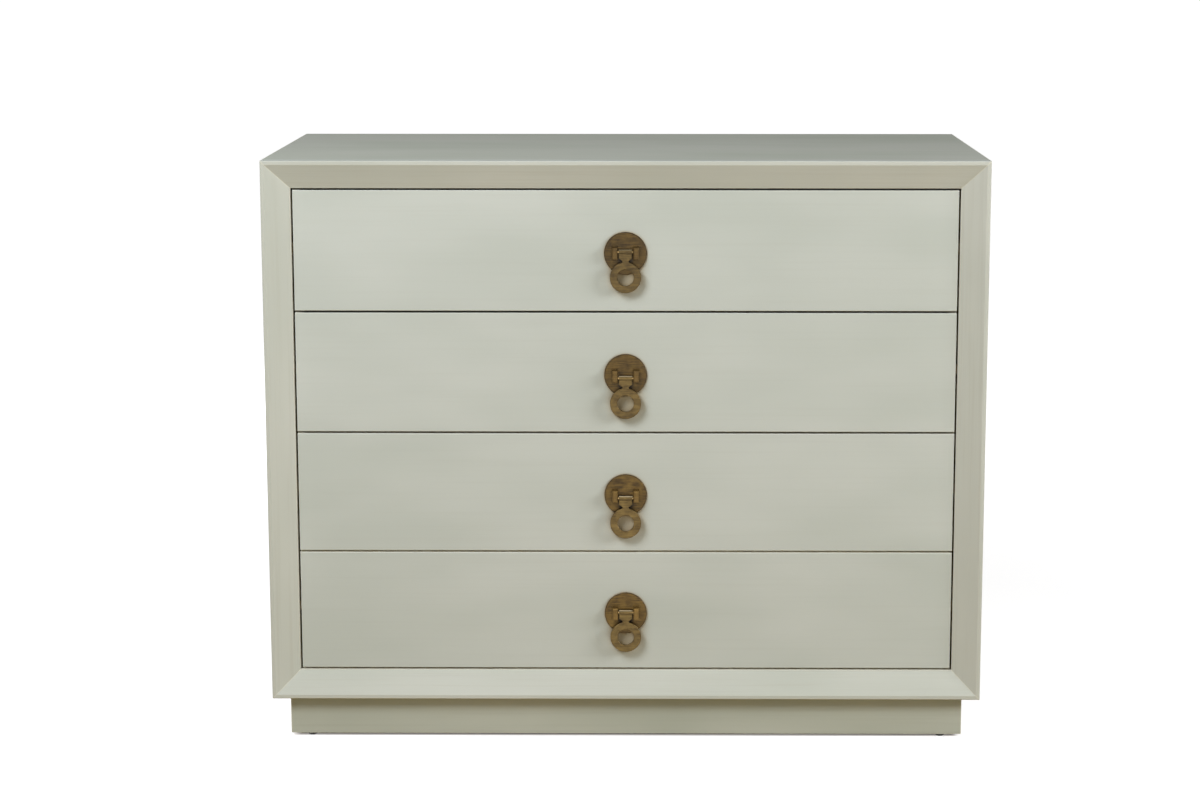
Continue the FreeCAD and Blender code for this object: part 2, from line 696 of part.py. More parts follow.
def pull_backplate(prefix, turn):
    """A round plate with two ears for the hinge pin and two bosses for its screws."""
    body = new_body(f"{prefix}_pull_backplate")
    disc = new_sketch(body, "disc", "XZ_Plane")
    draw_circle(disc, "0", "0", "plate_diameter")
    pad(body, disc, "plate_thickness")
    soften(body, "Chamfer", "rim",
           lambda edge: lies_at(edge, "Y", -size("plate_thickness")), Size="plate_edge")
    bosses = new_sketch(body, "bosses", "XZ_Plane")
    bores = new_sketch(body, "bores", "XZ_Plane", "0 - boss_length")
    for side in (-1, 1):
        draw_circle(bosses, f"{side} * boss_spacing / 2", "0", "boss_diameter")
        draw_circle(bores, f"{side} * boss_spacing / 2", "0", "machine_screw_diameter + 2 * screw_play")
    pad(body, bosses, "boss_length", back=True)
    pocket(body, bores, "machine_screw_bite + screw_play", back=True)
    ears = new_sketch(body, "ears", "XZ_Plane", "plate_thickness")
    for side in (-1, 1):
        draw_rectangle(ears, f"{side} * ear_spacing / 2", f"{side} * (ear_spacing / 2 + ear_width)",
                       f"{turn} * (hinge_rise - ear_far)", f"{turn} * (hinge_rise + ear_near)")
    pad(body, ears, "ear_reach - plate_thickness")
    soften(body, "Fillet", "noses",
           lambda edge: lies_at(edge, "Y", -size("ear_reach")), Radius="ear_round")
    bore = new_sketch(body, "pin_bore", "YZ_Plane")
    draw_circle(bore, "0 - hinge_reach", f"{turn} * hinge_rise", "pin_diameter + screw_play")
    pocket(body, bore, "2 * plate_diameter", both=True)
    return body


def pull_pin(prefix):
    """The hinge pin, through both ears and the ring's knuckle."""
    pin = new_body(f"{prefix}_pull_pin")
    section = new_sketch(pin, "section", "YZ_Plane")
    draw_circle(section, "0", "0", "pin_diameter")
    pad(pin, section, "ear_spacing + 2 * ear_width", both=True)
    return pin


def pull_ring(prefix):
    """The hanging ring with its neck, tab and knuckle, drawn from the hinge line."""
    body = new_body(f"{prefix}_pull_ring")
    tab = new_sketch(body, "tab", "XZ_Plane")
    half = [("tab_width / 2", "0"), ("tab_width / 2", "0 - tab_length"),
            ("neck_width / 2", "0 - neck_drop"), ("neck_width / 2", "0 - ring_drop")]
    draw_loop(tab, half + [(f"0 - {across}", down) for across, down in reversed(half)])
    pad(body, tab, "ring_thickness", both=True)
    disc = new_sketch(body, "disc", "XZ_Plane")
    draw_circle(disc, "0", "0 - ring_drop", "ring_diameter")
    pad(body, disc, "ring_thickness", both=True)
    soften(body, "Fillet", "neck",
           lambda edge: lies_at(edge, "X", math.copysign(size("neck_width") / 2, edge.CenterOfMass.x))
           and edge.BoundBox.ZLength < size("same_place"), Radius="neck_round")
    hole = new_sketch(body, "hole", "XZ_Plane")
    draw_circle(hole, "0", "0 - ring_drop", "ring_hole")
    pocket(body, hole, "2 * ring_thickness", both=True)
    soften(body, "Chamfer", "edges",
           lambda edge: lies_at(edge, "Y", math.copysign(size("ring_thickness") / 2, edge.CenterOfMass.y)),
           Size="ring_edge")
    knuckle = new_sketch(body, "knuckle", "YZ_Plane")
    draw_circle(knuckle, "0", "0", "knuckle_diameter")
    pad(body, knuckle, "tab_width", both=True)
    bore = new_sketch(body, "bore", "YZ_Plane")
    draw_circle(bore, "0", "0", "pin_diameter + 2 * pin_play")
    pocket(body, bore, "2 * tab_width", both=True)
    return body


def pull_screw(name):
    """A pan-headed machine screw along Y, its head at depth 0 and its tip to the front."""
    screw = doc.addObject("PartDesign::Body", name)
    section = new_sketch(screw, "section", "XZ_Plane")
    length = "(front_thickness - boss_length + machine_screw_bite)"
    draw_loop(section, [
        ("0", "machine_screw_head_height"), ("machine_screw_head / 3", "machine_screw_head_height"),
        ("machine_screw_head / 2", "machine_screw_head_height / 2"), ("machine_screw_head / 2", "0"),
        ("machine_screw_diameter / 2", "0"), ("machine_screw_diameter / 2", f"0 - {length}"),
        ("0", f"0 - {length}")])
    revolve(screw, section)
    screw.Placement.Rotation = FreeCAD.Rotation(FreeCAD.Vector(1, 0, 0), -QUARTER_TURN)
    return screw


def build_drawer(number):
    """One drawer with its pull.  Drawer 1 is the top one."""
    prefix = f"drawer_{number}"
    turn = PLATE_TURNS[number - 1]
    level = f"({LOWEST_DRAWER} + {DRAWERS - number} * {PITCH})"
    boards = [drawer_front(prefix), drawer_side(prefix, "left", -1), drawer_side(prefix, "right", 1),
              drawer_back(prefix)]
    for board in boards:
        place(board, y=DRAWER_FACE, z=level)
    board, (left, start, low) = drawer_bottom(prefix)
    place(board, left, f"{DRAWER_FACE} + {start}", f"{level} + {low}")
    middle = f"({level} + {PLATE_LEVEL})"
    hinge = f"({middle} + {turn} * hinge_rise)"
    place(pull_backplate(prefix, turn), y=DRAWER_FACE, z=middle)
    place(pull_pin(prefix), y=f"{DRAWER_FACE} - hinge_reach", z=hinge)
    place(pull_ring(prefix), y=f"{DRAWER_FACE} - hinge_reach", z=hinge)
    screws = []
    for side in (-1, 1):
        screws.append(pull_screw(f"{prefix}_pull_screw_{len(screws) + 1}"))
        place(screws[-1], f"{side} * boss_spacing / 2", f"{DRAWER_FACE} + front_thickness", middle)
    gather(f"{prefix}_pull_screws", screws)


def check_document():
    """Stop if a feature failed, a shape is unsound or a cut took nothing away."""
    for thing in doc.Objects:
        if {"Invalid", "Error"} & set(thing.State):
            raise RuntimeError(f"{thing.Name} failed: {thing.State}")
        if thing.TypeId == "PartDesign::Pocket":
            if thing.Shape.Volume >= thing.BaseFeature.Shape.Volume - size("same_place") ** 3:
                raise RuntimeError(f"{thing.Name} cuts nothing")
    for node in nodes:
        if node.Shape.isNull() or not node.Shape.isValid():
            raise RuntimeError(f"{node.Name} has no sound shape")


build_case()
build_frame()
build_plinth()
build_runners()
for drawer_number in range(1, DRAWERS + 1):
    build_drawer(drawer_number)
doc.recompute()
check_document()
os.makedirs("parts", exist_ok=True)
for node in nodes:
    node.Shape.exportStep(f"parts/{node.Name}.step")
whole = Part.makeCompound([node.Shape for node in nodes]).BoundBox
solids = sum(len(node.Shape.Solids) for node in nodes)
print(f"{len(nodes)} nodes, {solids} solids")
print(f"box {whole.XLength:.2f} x {whole.YLength:.2f} x {whole.ZLength:.2f}, floor at {whole.ZMin:.3f}")
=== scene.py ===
# %% [markdown]
# # A painted chest of drawers, dressed in Blender
# The chest itself comes from a CAD model: boards, runners, screws and ring pulls, all at their real size.
# This notebook gives every one of those pieces a finish, swaps the plain screws for screws with cross
# recesses, and sets up a studio around them.  Everything is in metres, with +Z up and the drawers facing -Y.

# %% Load the chest
import json
import math
import bmesh
import bpy
from mathutils import Matrix, Vector


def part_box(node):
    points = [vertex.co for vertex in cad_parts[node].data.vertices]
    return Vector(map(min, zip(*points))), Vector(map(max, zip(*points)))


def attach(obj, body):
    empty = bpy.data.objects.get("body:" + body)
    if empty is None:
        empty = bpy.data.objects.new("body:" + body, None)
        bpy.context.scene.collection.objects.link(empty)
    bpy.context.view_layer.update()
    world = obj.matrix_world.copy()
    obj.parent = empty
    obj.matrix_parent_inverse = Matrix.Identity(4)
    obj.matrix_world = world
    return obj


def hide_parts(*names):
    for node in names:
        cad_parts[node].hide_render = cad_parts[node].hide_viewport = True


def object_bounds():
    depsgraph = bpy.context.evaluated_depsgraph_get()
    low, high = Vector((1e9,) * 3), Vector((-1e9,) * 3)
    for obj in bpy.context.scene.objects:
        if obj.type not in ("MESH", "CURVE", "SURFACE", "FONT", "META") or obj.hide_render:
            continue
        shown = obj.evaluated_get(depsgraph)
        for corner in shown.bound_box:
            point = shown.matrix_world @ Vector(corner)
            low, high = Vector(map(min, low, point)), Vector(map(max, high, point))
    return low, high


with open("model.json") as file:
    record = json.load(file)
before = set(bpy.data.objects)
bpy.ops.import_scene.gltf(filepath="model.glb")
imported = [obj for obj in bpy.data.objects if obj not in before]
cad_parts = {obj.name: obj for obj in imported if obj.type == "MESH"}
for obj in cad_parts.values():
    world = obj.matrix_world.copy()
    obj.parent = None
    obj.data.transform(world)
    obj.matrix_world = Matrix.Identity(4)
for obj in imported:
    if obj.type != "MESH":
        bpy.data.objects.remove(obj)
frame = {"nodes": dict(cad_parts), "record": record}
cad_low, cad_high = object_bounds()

nodes = frame["nodes"]
MM = 0.001
print(f"{len(nodes)} pieces, {(cad_high.x - cad_low.x) / MM:.0f} mm wide")

# %% [markdown]
# ## Small tools
# Colours are written as sRGB hex, the way a paint chart gives them, but shaders work on linear light, so one
# function turns the first into the second.  A second function adds a shader node, sets its options and
# plugs in its inputs, which keeps each material short enough to read from top to bottom.


# %% Colours and nodes
def colour(hex_text):
    """Give an sRGB hex colour as linear red, green, blue and alpha."""
    shares = [int(hex_text[place:place + 2], 16) / 255 for place in (1, 3, 5)]
    return tuple(s / 12.92 if s <= 0.04045 else ((s + 0.055) / 1.055) ** 2.4 for s in shares) + (1.0,)


def node(tree, kind, inputs=None, **settings):
    """Add a shader node.  Inputs are values, or the outputs of other nodes to link."""
    made = tree.nodes.new(f"ShaderNode{kind}")
    for name, value in settings.items():
        setattr(made, name, value)
    for name, value in (inputs or {}).items():
        if isinstance(value, bpy.types.NodeSocket):
            tree.links.new(value, made.inputs[name])
        else:
            made.inputs[name].default_value = value
    return made


# A Mix node has sockets of the same name for each kind of value, so those for colours go by number.
MIX_FACTOR, MIX_FIRST, MIX_SECOND, MIX_RESULT = 0, 6, 7, 2
print("half grey", [round(share, 3) for share in colour("#808080")[:3]], "in linear light")


# %% The start of a material, and patterns along the grain
def start_material(name):
    """Start an empty material with a Principled surface, and give it with its tree."""
    material = bpy.data.materials.new(name)
    material.use_nodes = True
    tree = material.node_tree
    tree.nodes.clear()
    surface = node(tree, "BsdfPrincipled")
    node(tree, "OutputMaterial", {"Surface": surface.outputs["BSDF"]})
    return material, tree, surface


def along_grain(axis, long_mm, wide_mm):
    """Scale for a pattern whose marks are this long along one axis and this wide across it."""
    return [1 / (MM * (long_mm if letter == axis else wide_mm)) for letter in "XYZ"]


def dress(material, *names):
    """Put a finish on CAD pieces."""
    for name in names:
        nodes[name].data.materials.clear()
        nodes[name].data.materials.append(material)
    print(f"{material.name}: {len(names)} pieces")


print("marks 100 by 10 mm along X have a scale of", [round(s) for s in along_grain("X", 100, 10)])

# %% [markdown]
# ## Painted wood
# The case and the drawer fronts are hardwood under a satin, grey-green lacquer that was brushed on and rubbed
# back.  To the eye that gives a soft sheen, faint streaks along the grain and cloudy patches a hand wide.  An
# image of brushed paint could be wrapped round each board, but its scale would differ from board to board.
# Noise textures in Object coordinates have one scale in millimetres for the whole chest: stretched along the
# grain they make streaks and pores, and less stretched they make clouds.

# %% Paint colours
DRAWER_PAINT = dict(even="#C8CDC6", clouded="#C0C6BE", glaze="#B6B9AF", streaks=0.2, wear_and_highlight=0.9)
FRAME_PAINT = dict(even="#C9CCC3", clouded="#C1C5BB", glaze="#B4B4A6", streaks=0.4, wear_and_highlight=0.6)
# The top and the case bottom are the same paint painted darker, a painted shade for the weaker light on the
# top, and the plinth is painted darker still, a painted shade low down by the floor.
TOP_PAINT_SHADED = dict(even="#C4C6BA", clouded="#BCC0B2", glaze="#B0B09F", streaks=0.4, wear_and_highlight=0.6)
PLINTH_PAINT_SHADED = dict(even="#B8BCAF", clouded="#AEB3A5", glaze="#A2A393", streaks=0.4, wear_and_highlight=0.4)
print("paint from the drawers down to the plinth:", DRAWER_PAINT["even"], "to", PLINTH_PAINT_SHADED["even"])

# %% Streaks and clouds
STROKE_MM = (340, 5)
CLOUD_MM = (300, 120)


def brushed_paint(tree, spot, grain, paint):
    """Streaked and clouded paint.  Gives its colour, the brush strokes and the share of glaze in them."""
    # Bristle marks are under 1 mm apart, and are drawn 5 mm apart so that they show in the render.
    stroke_place = node(tree, "Mapping", {"Vector": spot, "Scale": along_grain(grain, *STROKE_MM)})
    strokes = node(tree, "TexNoise", {
        "Vector": stroke_place.outputs["Vector"], "Scale": 1, "Detail": 5, "Roughness": 0.65})
    cloud_place = node(tree, "Mapping", {"Vector": spot, "Scale": along_grain(grain, *CLOUD_MM)})
    clouds = node(tree, "TexNoise", {
        "Vector": cloud_place.outputs["Vector"], "Scale": 1, "Detail": 2, "Roughness": 0.5})
    cloud_share = node(tree, "MapRange", {"Value": clouds.outputs["Fac"], "From Min": 0.35, "From Max": 0.68})
    glaze_share = node(tree, "MapRange", {
        "Value": strokes.outputs["Fac"], "From Min": 0.5, "From Max": 0.8, "To Max": paint["streaks"]})
    cloudy = node(tree, "Mix", {
        MIX_FACTOR: cloud_share.outputs["Result"], MIX_FIRST: colour(paint["even"]),
        MIX_SECOND: colour(paint["clouded"])}, data_type="RGBA")
    streaked = node(tree, "Mix", {
        MIX_FACTOR: glaze_share.outputs["Result"], MIX_FIRST: cloudy.outputs[MIX_RESULT],
        MIX_SECOND: colour(paint["glaze"])}, data_type="RGBA")
    return streaked.outputs[MIX_RESULT], strokes.outputs["Fac"], glaze_share.outputs["Result"]


print(f"strokes {STROKE_MM[0]} mm long, clouds {CLOUD_MM[0]} by {CLOUD_MM[1]} mm")

# %% Sheen and relief
PORE_MM = (45, 1.6)
# Lacquer that was rubbed flat keeps hardly any of the mirror layer that fresh gloss paint has.
RUBBED_SPECULAR = 0.03


def join_lacquer(tree, surface, spot, grain, finish, strokes):
    """Join a paint colour to the surface, with a satin sheen and the relief of strokes and pores."""
    pore_place = node(tree, "Mapping", {"Vector": spot, "Scale": along_grain(grain, *PORE_MM)})
    pores = node(tree, "TexNoise", {
        "Vector": pore_place.outputs["Vector"], "Scale": 1, "Detail": 2, "Roughness": 0.5})
    sheen = node(tree, "MapRange", {"Value": strokes, "To Min": 0.62, "To Max": 0.76})
    relief = node(tree, "Math", {0: strokes, 1: pores.outputs["Fac"]}, operation="ADD")
    bump = node(tree, "Bump", {"Height": relief.outputs["Value"], "Strength": 0.25, "Distance": 0.25 * MM})
    surface.inputs["Specular IOR Level"].default_value = RUBBED_SPECULAR
    tree.links.new(finish, surface.inputs["Base Color"])
    tree.links.new(sheen.outputs["Result"], surface.inputs["Roughness"])
    tree.links.new(bump.outputs["Normal"], surface.inputs["Normal"])


print(f"pores {PORE_MM[0]} mm long and {PORE_MM[1]} mm wide")

# %% [markdown]
# ## Wear on the paint, with painted shade and painted light
# Rubbing cuts through the paint on the arrises, which are paler, and that paler edge is also a painted
# highlight on the rounding.  Where two boards nearly touch, the upper gaps between the drawers are painted
# near black, a painted shade that makes them read as dark lines.  The edges in the lower gaps and the upright
# ones are painted pale, a painted light that keeps those lines from reading too dark.  Close to the pulls a
# warm brown is painted where the rings shade the paint, a painted warm shade.  All of this could be painted
# as masks, but two nodes find the places from the shape.  The Bevel node gives a normal that is rounded near
# an edge, so where it turns away from the true normal there is an arris.  The Ambient Occlusion node says how
# open a spot is, and distances keep each painted shade to its own part of the chest.


# %% Edges: wear with a painted highlight, and painted shade
def edge_share(tree, radius, samples, begins, full, most):
    """Share near an edge: paler wear with a painted highlight, or painted shade.  begins and full are the
    sameness of rounded and true normal there.
    """
    rounded = node(tree, "Bevel", {"Radius": radius}, samples=samples)
    true_normal = node(tree, "NewGeometry")
    sameness = node(tree, "VectorMath", {
        0: rounded.outputs["Normal"], 1: true_normal.outputs["Normal"]}, operation="DOT_PRODUCT")
    share = node(tree, "MapRange", {
        "Value": sameness.outputs["Value"], "From Min": begins, "From Max": full, "To Max": most})
    return share.outputs["Result"]


# The paler arris is partly wear and partly a painted highlight along the rounded edge.
PAINT_WORN_AND_HIGHLIGHT = colour("#E6E2D0")
PAINT_EDGE_WEAR_AND_HIGHLIGHT = dict(radius=2 * MM, samples=6, begins=0.995, full=0.85)
print(f"arrises are rubbed {PAINT_EDGE_WEAR_AND_HIGHLIGHT['radius'] / MM:.0f} mm wide")

# %% Painted shade and painted light in the gaps
# Painted shade in the gaps: near black where the upper gaps close, and pale, as painted light, in the lower
# and upright ones.
GAP_PAINTED_SHADE = colour("#1E1A14")
GAP_PAINTED_LIGHT = colour("#F2EFE2")
PALE_GAPS_BELOW, DARK_GAPS_ABOVE = 300 * MM, 800 * MM
# The upright gaps lie further from the middle of the chest than the first of these.
PALE_GAPS_ASIDE, DARK_GAPS_WITHIN = cad_high.x - 48 * MM, cad_high.x - 60 * MM


def lay_gap_shade(tree, spot, openness, finish):
    """Lay painted shade or painted light over a paint colour where the boards nearly touch."""
    around = node(tree, "SeparateXYZ", {"Vector": spot})
    aside = node(tree, "Math", {0: around.outputs["X"]}, operation="ABSOLUTE")
    most_gap_shade = node(tree, "MapRange", {
        "Value": aside.outputs["Value"], "From Min": PALE_GAPS_ASIDE, "From Max": DARK_GAPS_WITHIN})
    gap_shade_share = node(tree, "MapRange", {
        "Value": around.outputs["Z"], "From Min": PALE_GAPS_BELOW, "From Max": DARK_GAPS_ABOVE,
        "To Max": most_gap_shade.outputs["Result"]})
    gap_colour = node(tree, "Mix", {
        MIX_FACTOR: gap_shade_share.outputs["Result"], MIX_FIRST: GAP_PAINTED_LIGHT, MIX_SECOND: GAP_PAINTED_SHADE},
        data_type="RGBA")
    closed_gap_share = node(tree, "MapRange", {"Value": openness, "From Min": 0.5, "From Max": 0.25, "To Max": 0.95})
    gap_shaded = node(tree, "Mix", {
        MIX_FACTOR: closed_gap_share.outputs["Result"], MIX_FIRST: finish,
        MIX_SECOND: gap_colour.outputs[MIX_RESULT]}, data_type="RGBA")
    return gap_shaded.outputs[MIX_RESULT]


print(f"gaps are pale below {PALE_GAPS_BELOW / MM:.0f} mm and darkest above {DARK_GAPS_ABOVE / MM:.0f} mm")

# %% Distances from the pulls
FLAT_ON_FRONT = (1, 0, 1)
DRAWER_NUMBERS = range(1, 5)
pull_heights = []
for number in DRAWER_NUMBERS:
    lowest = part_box(f"drawer_{number}_pull_ring")[0].z
    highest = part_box(f"drawer_{number}_pull_backplate")[1].z
    pull_heights.append((lowest + highest) / 2)


def distance_from(tree, spot, point, directions):
    """How far a spot is from a point, measured only along the given directions, and the way to it."""
    way = node(tree, "VectorMath", {0: spot, 1: point}, operation="SUBTRACT").outputs["Vector"]
    kept = node(tree, "VectorMath", {0: way, 1: directions}, operation="MULTIPLY")
    length = node(tree, "VectorMath", {0: kept.outputs["Vector"]}, operation="LENGTH")
    return length.outputs["Value"], way


print("middles of the pulls at", [round(height / MM) for height in pull_heights], "mm")

# %% Painted warm shade by the pulls
# Painted warm shade: a warm brown laid on the paint where the rings and plates shade it.
PULL_SHADE_BROWN = colour("#97793A")
PULL_SHADE_FULL, PULL_SHADE_END = 55 * MM, 75 * MM
FAR_OFF = 1.0


def lay_pull_shade(tree, spot, openness, finish):
    """Lay a painted warm shade over a paint colour, where the pulls shade it and close to them."""
    nearest = FAR_OFF
    for height in pull_heights:
        off_pull, _ = distance_from(tree, spot, (0, 0, height), FLAT_ON_FRONT)
        nearest = node(tree, "Math", {0: off_pull, 1: nearest}, operation="MINIMUM").outputs["Value"]
    most_pull_shade = node(tree, "MapRange", {
        "Value": nearest, "From Min": PULL_SHADE_END, "From Max": PULL_SHADE_FULL, "To Max": 0.7})
    pull_shade_share = node(tree, "MapRange", {
        "Value": openness, "From Min": 0.93, "From Max": 0.55, "To Max": most_pull_shade.outputs["Result"]})
    pull_shaded = node(tree, "Mix", {
        MIX_FACTOR: pull_shade_share.outputs["Result"], MIX_FIRST: finish, MIX_SECOND: PULL_SHADE_BROWN},
        data_type="RGBA")
    return pull_shaded.outputs[MIX_RESULT]


print(f"the film ends {PULL_SHADE_END / MM:.0f} mm from the middle of a pull")

# %% [markdown]
# ## Where the paint stops
# A maker paints what shows.  The inner faces of the case, the backs of the drawer fronts and their dovetail
# pins are left as bare wood.  Each such face could get a second material slot, but the direction that a face
# looks in says it all: into the chest, or to its rear.  The pins show on the ends of a drawer front, so they
# look sideways, and they lie behind the lap, which hides the joint from the front and is painted with it.

# %% Dovetail pins
BARE_WOOD = colour("#C9AA7C")
BARE_STREAK = colour("#A98555")
lap_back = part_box("drawer_1_right_side")[0].y
lap_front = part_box("drawer_1_front")[0].y


def dovetail_pins(tree, place):
    """Share that is 1 on the pins of a drawer front and 0 elsewhere on it."""
    depth = node(tree, "SeparateXYZ", {"Vector": place.outputs["Object"]})
    behind_lap = node(tree, "Math", {0: depth.outputs["Y"], 1: lap_back}, operation="GREATER_THAN")
    looks = node(tree, "SeparateXYZ", {"Vector": place.outputs["Normal"]})
    looks_aside = node(tree, "Math", {0: looks.outputs["X"]}, operation="ABSOLUTE")
    sideways = node(tree, "Math", {0: looks_aside.outputs["Value"], 1: 0.5}, operation="GREATER_THAN")
    pins = node(tree, "Math", {
        0: behind_lap.outputs["Value"], 1: sideways.outputs["Value"]}, operation="MULTIPLY")
    return pins.outputs["Value"]


print(f"a drawer front's lap is {(lap_back - lap_front) / MM:.1f} mm deep")

# %% Unpainted faces
LOOKS_AWAY = -0.02
chest_middle = (cad_low + cad_high) / 2


def unpainted_faces(tree, place, bare, glaze_share, finish):
    """Swap paint for bare wood.  bare is "behind" for faces to the rear or "inside" for inner faces."""
    way_out = (0, -1, 0)
    if bare == "inside":
        way_out = node(tree, "VectorMath", {
            0: place.outputs["Object"], 1: chest_middle}, operation="SUBTRACT").outputs["Vector"]
    facing = node(tree, "VectorMath", {0: way_out, 1: place.outputs["Normal"]}, operation="DOT_PRODUCT")
    unpainted = node(tree, "Math", {0: facing.outputs["Value"], 1: LOOKS_AWAY}, operation="LESS_THAN")
    if bare == "behind":
        unpainted = node(tree, "Math", {
            0: unpainted.outputs["Value"], 1: dovetail_pins(tree, place)}, operation="MAXIMUM")
    wood = node(tree, "Mix", {
        MIX_FACTOR: glaze_share, MIX_FIRST: BARE_WOOD, MIX_SECOND: BARE_STREAK}, data_type="RGBA")
    shown = node(tree, "Mix", {
        MIX_FACTOR: unpainted.outputs["Value"], MIX_FIRST: finish, MIX_SECOND: wood.outputs[MIX_RESULT]},
        data_type="RGBA")
    return shown.outputs[MIX_RESULT]


print("bare wood", [round(share, 2) for share in BARE_WOOD[:3]])

# %% Paint the chest
GAP_REACH = 20 * MM


def painted_wood(name, grain, paint, bare=None):
    """Brushed satin lacquer with its wear, painted highlights, painted shade and painted light.  bare says
    which faces are left unpainted, if any.
    """
    material, tree, surface = start_material(name)
    place = node(tree, "TexCoord")
    spot = place.outputs["Object"]
    finish, strokes, glaze_share = brushed_paint(tree, spot, grain, paint)
    arris_wear_and_highlight = edge_share(tree, **PAINT_EDGE_WEAR_AND_HIGHLIGHT, most=paint["wear_and_highlight"])
    finish = node(tree, "Mix", {
        MIX_FACTOR: arris_wear_and_highlight, MIX_FIRST: finish, MIX_SECOND: PAINT_WORN_AND_HIGHLIGHT}, data_type="RGBA").outputs[MIX_RESULT]
    # How closed a spot is drives the painted shade in the gaps and the painted warm shade by the pulls.
    openness = node(tree, "AmbientOcclusion", {"Distance": GAP_REACH}, samples=8).outputs["AO"]
    finish = lay_gap_shade(tree, spot, openness, finish)
    if bare == "behind":
        finish = lay_pull_shade(tree, spot, openness, finish)
    if bare:
        finish = unpainted_faces(tree, place, bare, glaze_share, finish)
    join_lacquer(tree, surface, spot, grain, finish, strokes)
    return material


dress(painted_wood("paint_on_rails", "X", FRAME_PAINT), "frame_top_rail", "frame_bottom_rail")
dress(painted_wood("paint_on_stiles", "Z", FRAME_PAINT), "frame_left_stile", "frame_right_stile")
dress(painted_wood("paint_on_case_across", "X", TOP_PAINT_SHADED, "inside"), "top_panel", "case_bottom")
dress(painted_wood("paint_on_case_sides", "Z", FRAME_PAINT, "inside"), "left_side_panel", "right_side_panel")
dress(painted_wood("paint_on_plinth_across", "X", PLINTH_PAINT_SHADED, "inside"), "plinth_front", "plinth_back")
dress(painted_wood("paint_on_plinth_ends", "Y", PLINTH_PAINT_SHADED, "inside"), "plinth_left", "plinth_right")
dress(painted_wood("paint_on_drawers", "X", DRAWER_PAINT, "behind"),
      *[f"drawer_{n}_front" for n in DRAWER_NUMBERS])

# %% [markdown]
# ## Clear-lacquered maple and birch plywood
# The drawer boxes, the runners and the corner blocks are maple: to the eye pale straw and close grained, with
# slow darker bands a finger wide and short dark flecks under a clear satin coat.  The drawer bottoms and the
# back are birch plywood, which is a little greyer, with broader figure and a duller surface.  Rings cut by a
# plane would be the exact way to draw a board, but a sawn board shows mostly long streaks, so three noises
# stretched along the grain are enough.  Both woods are one recipe with other widths and colours.

# %% Figure of the bare woods
BAND_LONG_MM = 600
LINE_MM = (180, 3)
FLECK_MM = (9, 1.2)
FLECK_BROWN = colour("#8A6740")


def wood_figure(tree, spot, grain, pale, dark, band_mm):
    """Slow bands, fine lines and short flecks along the grain.  Gives the colour and the lines."""
    band_place = node(tree, "Mapping", {"Vector": spot, "Scale": along_grain(grain, BAND_LONG_MM, band_mm)})
    bands = node(tree, "TexNoise", {
        "Vector": band_place.outputs["Vector"], "Scale": 1, "Detail": 4, "Roughness": 0.6, "Distortion": 0.6})
    # Growth lines are finer than a pixel, and are drawn 3 mm apart so that they show.
    line_place = node(tree, "Mapping", {"Vector": spot, "Scale": along_grain(grain, *LINE_MM)})
    lines = node(tree, "TexNoise", {
        "Vector": line_place.outputs["Vector"], "Scale": 1, "Detail": 3, "Roughness": 0.6})
    fleck_place = node(tree, "Mapping", {"Vector": spot, "Scale": along_grain(grain, *FLECK_MM)})
    flecks = node(tree, "TexNoise", {"Vector": fleck_place.outputs["Vector"], "Scale": 1, "Detail": 1})
    band_share = node(tree, "MapRange", {
        "Value": bands.outputs["Fac"], "From Min": 0.3, "From Max": 0.72, "To Max": 0.75})
    line_share = node(tree, "MapRange", {
        "Value": lines.outputs["Fac"], "From Min": 0.5, "From Max": 0.78, "To Max": 0.5})
    fleck_share = node(tree, "MapRange", {
        "Value": flecks.outputs["Fac"], "From Min": 0.64, "From Max": 0.74, "To Max": 0.4})
    banded = node(tree, "Mix", {
        MIX_FACTOR: band_share.outputs["Result"], MIX_FIRST: colour(pale), MIX_SECOND: colour(dark)},
        data_type="RGBA")
    lined = node(tree, "Mix", {
        MIX_FACTOR: line_share.outputs["Result"], MIX_FIRST: banded.outputs[MIX_RESULT],
        MIX_SECOND: colour(dark)}, data_type="RGBA")
    flecked = node(tree, "Mix", {
        MIX_FACTOR: fleck_share.outputs["Result"], MIX_FIRST: lined.outputs[MIX_RESULT],
        MIX_SECOND: FLECK_BROWN}, data_type="RGBA")
    return flecked.outputs[MIX_RESULT], lines.outputs["Fac"]


print(f"growth lines {LINE_MM[0]} mm long, flecks {FLECK_MM[0]} mm long")

# %% Maple and plywood
MAPLE = dict(pale="#DCC197", dark="#C6A272", band_mm=28, gloss=0.34)
BIRCH_PLY = dict(pale="#D3B78D", dark="#BC9A6C", band_mm=60, gloss=0.55)
GLOSS_SPREAD = 0.18


def bare_wood(name, grain, pale, dark, band_mm, gloss):
    """Unpainted wood under a clear coat.  gloss is the roughness where the coat is smoothest."""
    material, tree, surface = start_material(name)
    spot = node(tree, "TexCoord").outputs["Object"]
    finish, lines = wood_figure(tree, spot, grain, pale, dark, band_mm)
    sheen = node(tree, "MapRange", {"Value": lines, "To Min": gloss, "To Max": gloss + GLOSS_SPREAD})
    bump = node(tree, "Bump", {"Height": lines, "Strength": 0.2, "Distance": 0.2 * MM})
    tree.links.new(finish, surface.inputs["Base Color"])
    tree.links.new(sheen.outputs["Result"], surface.inputs["Roughness"])
    tree.links.new(bump.outputs["Normal"], surface.inputs["Normal"])
    return material


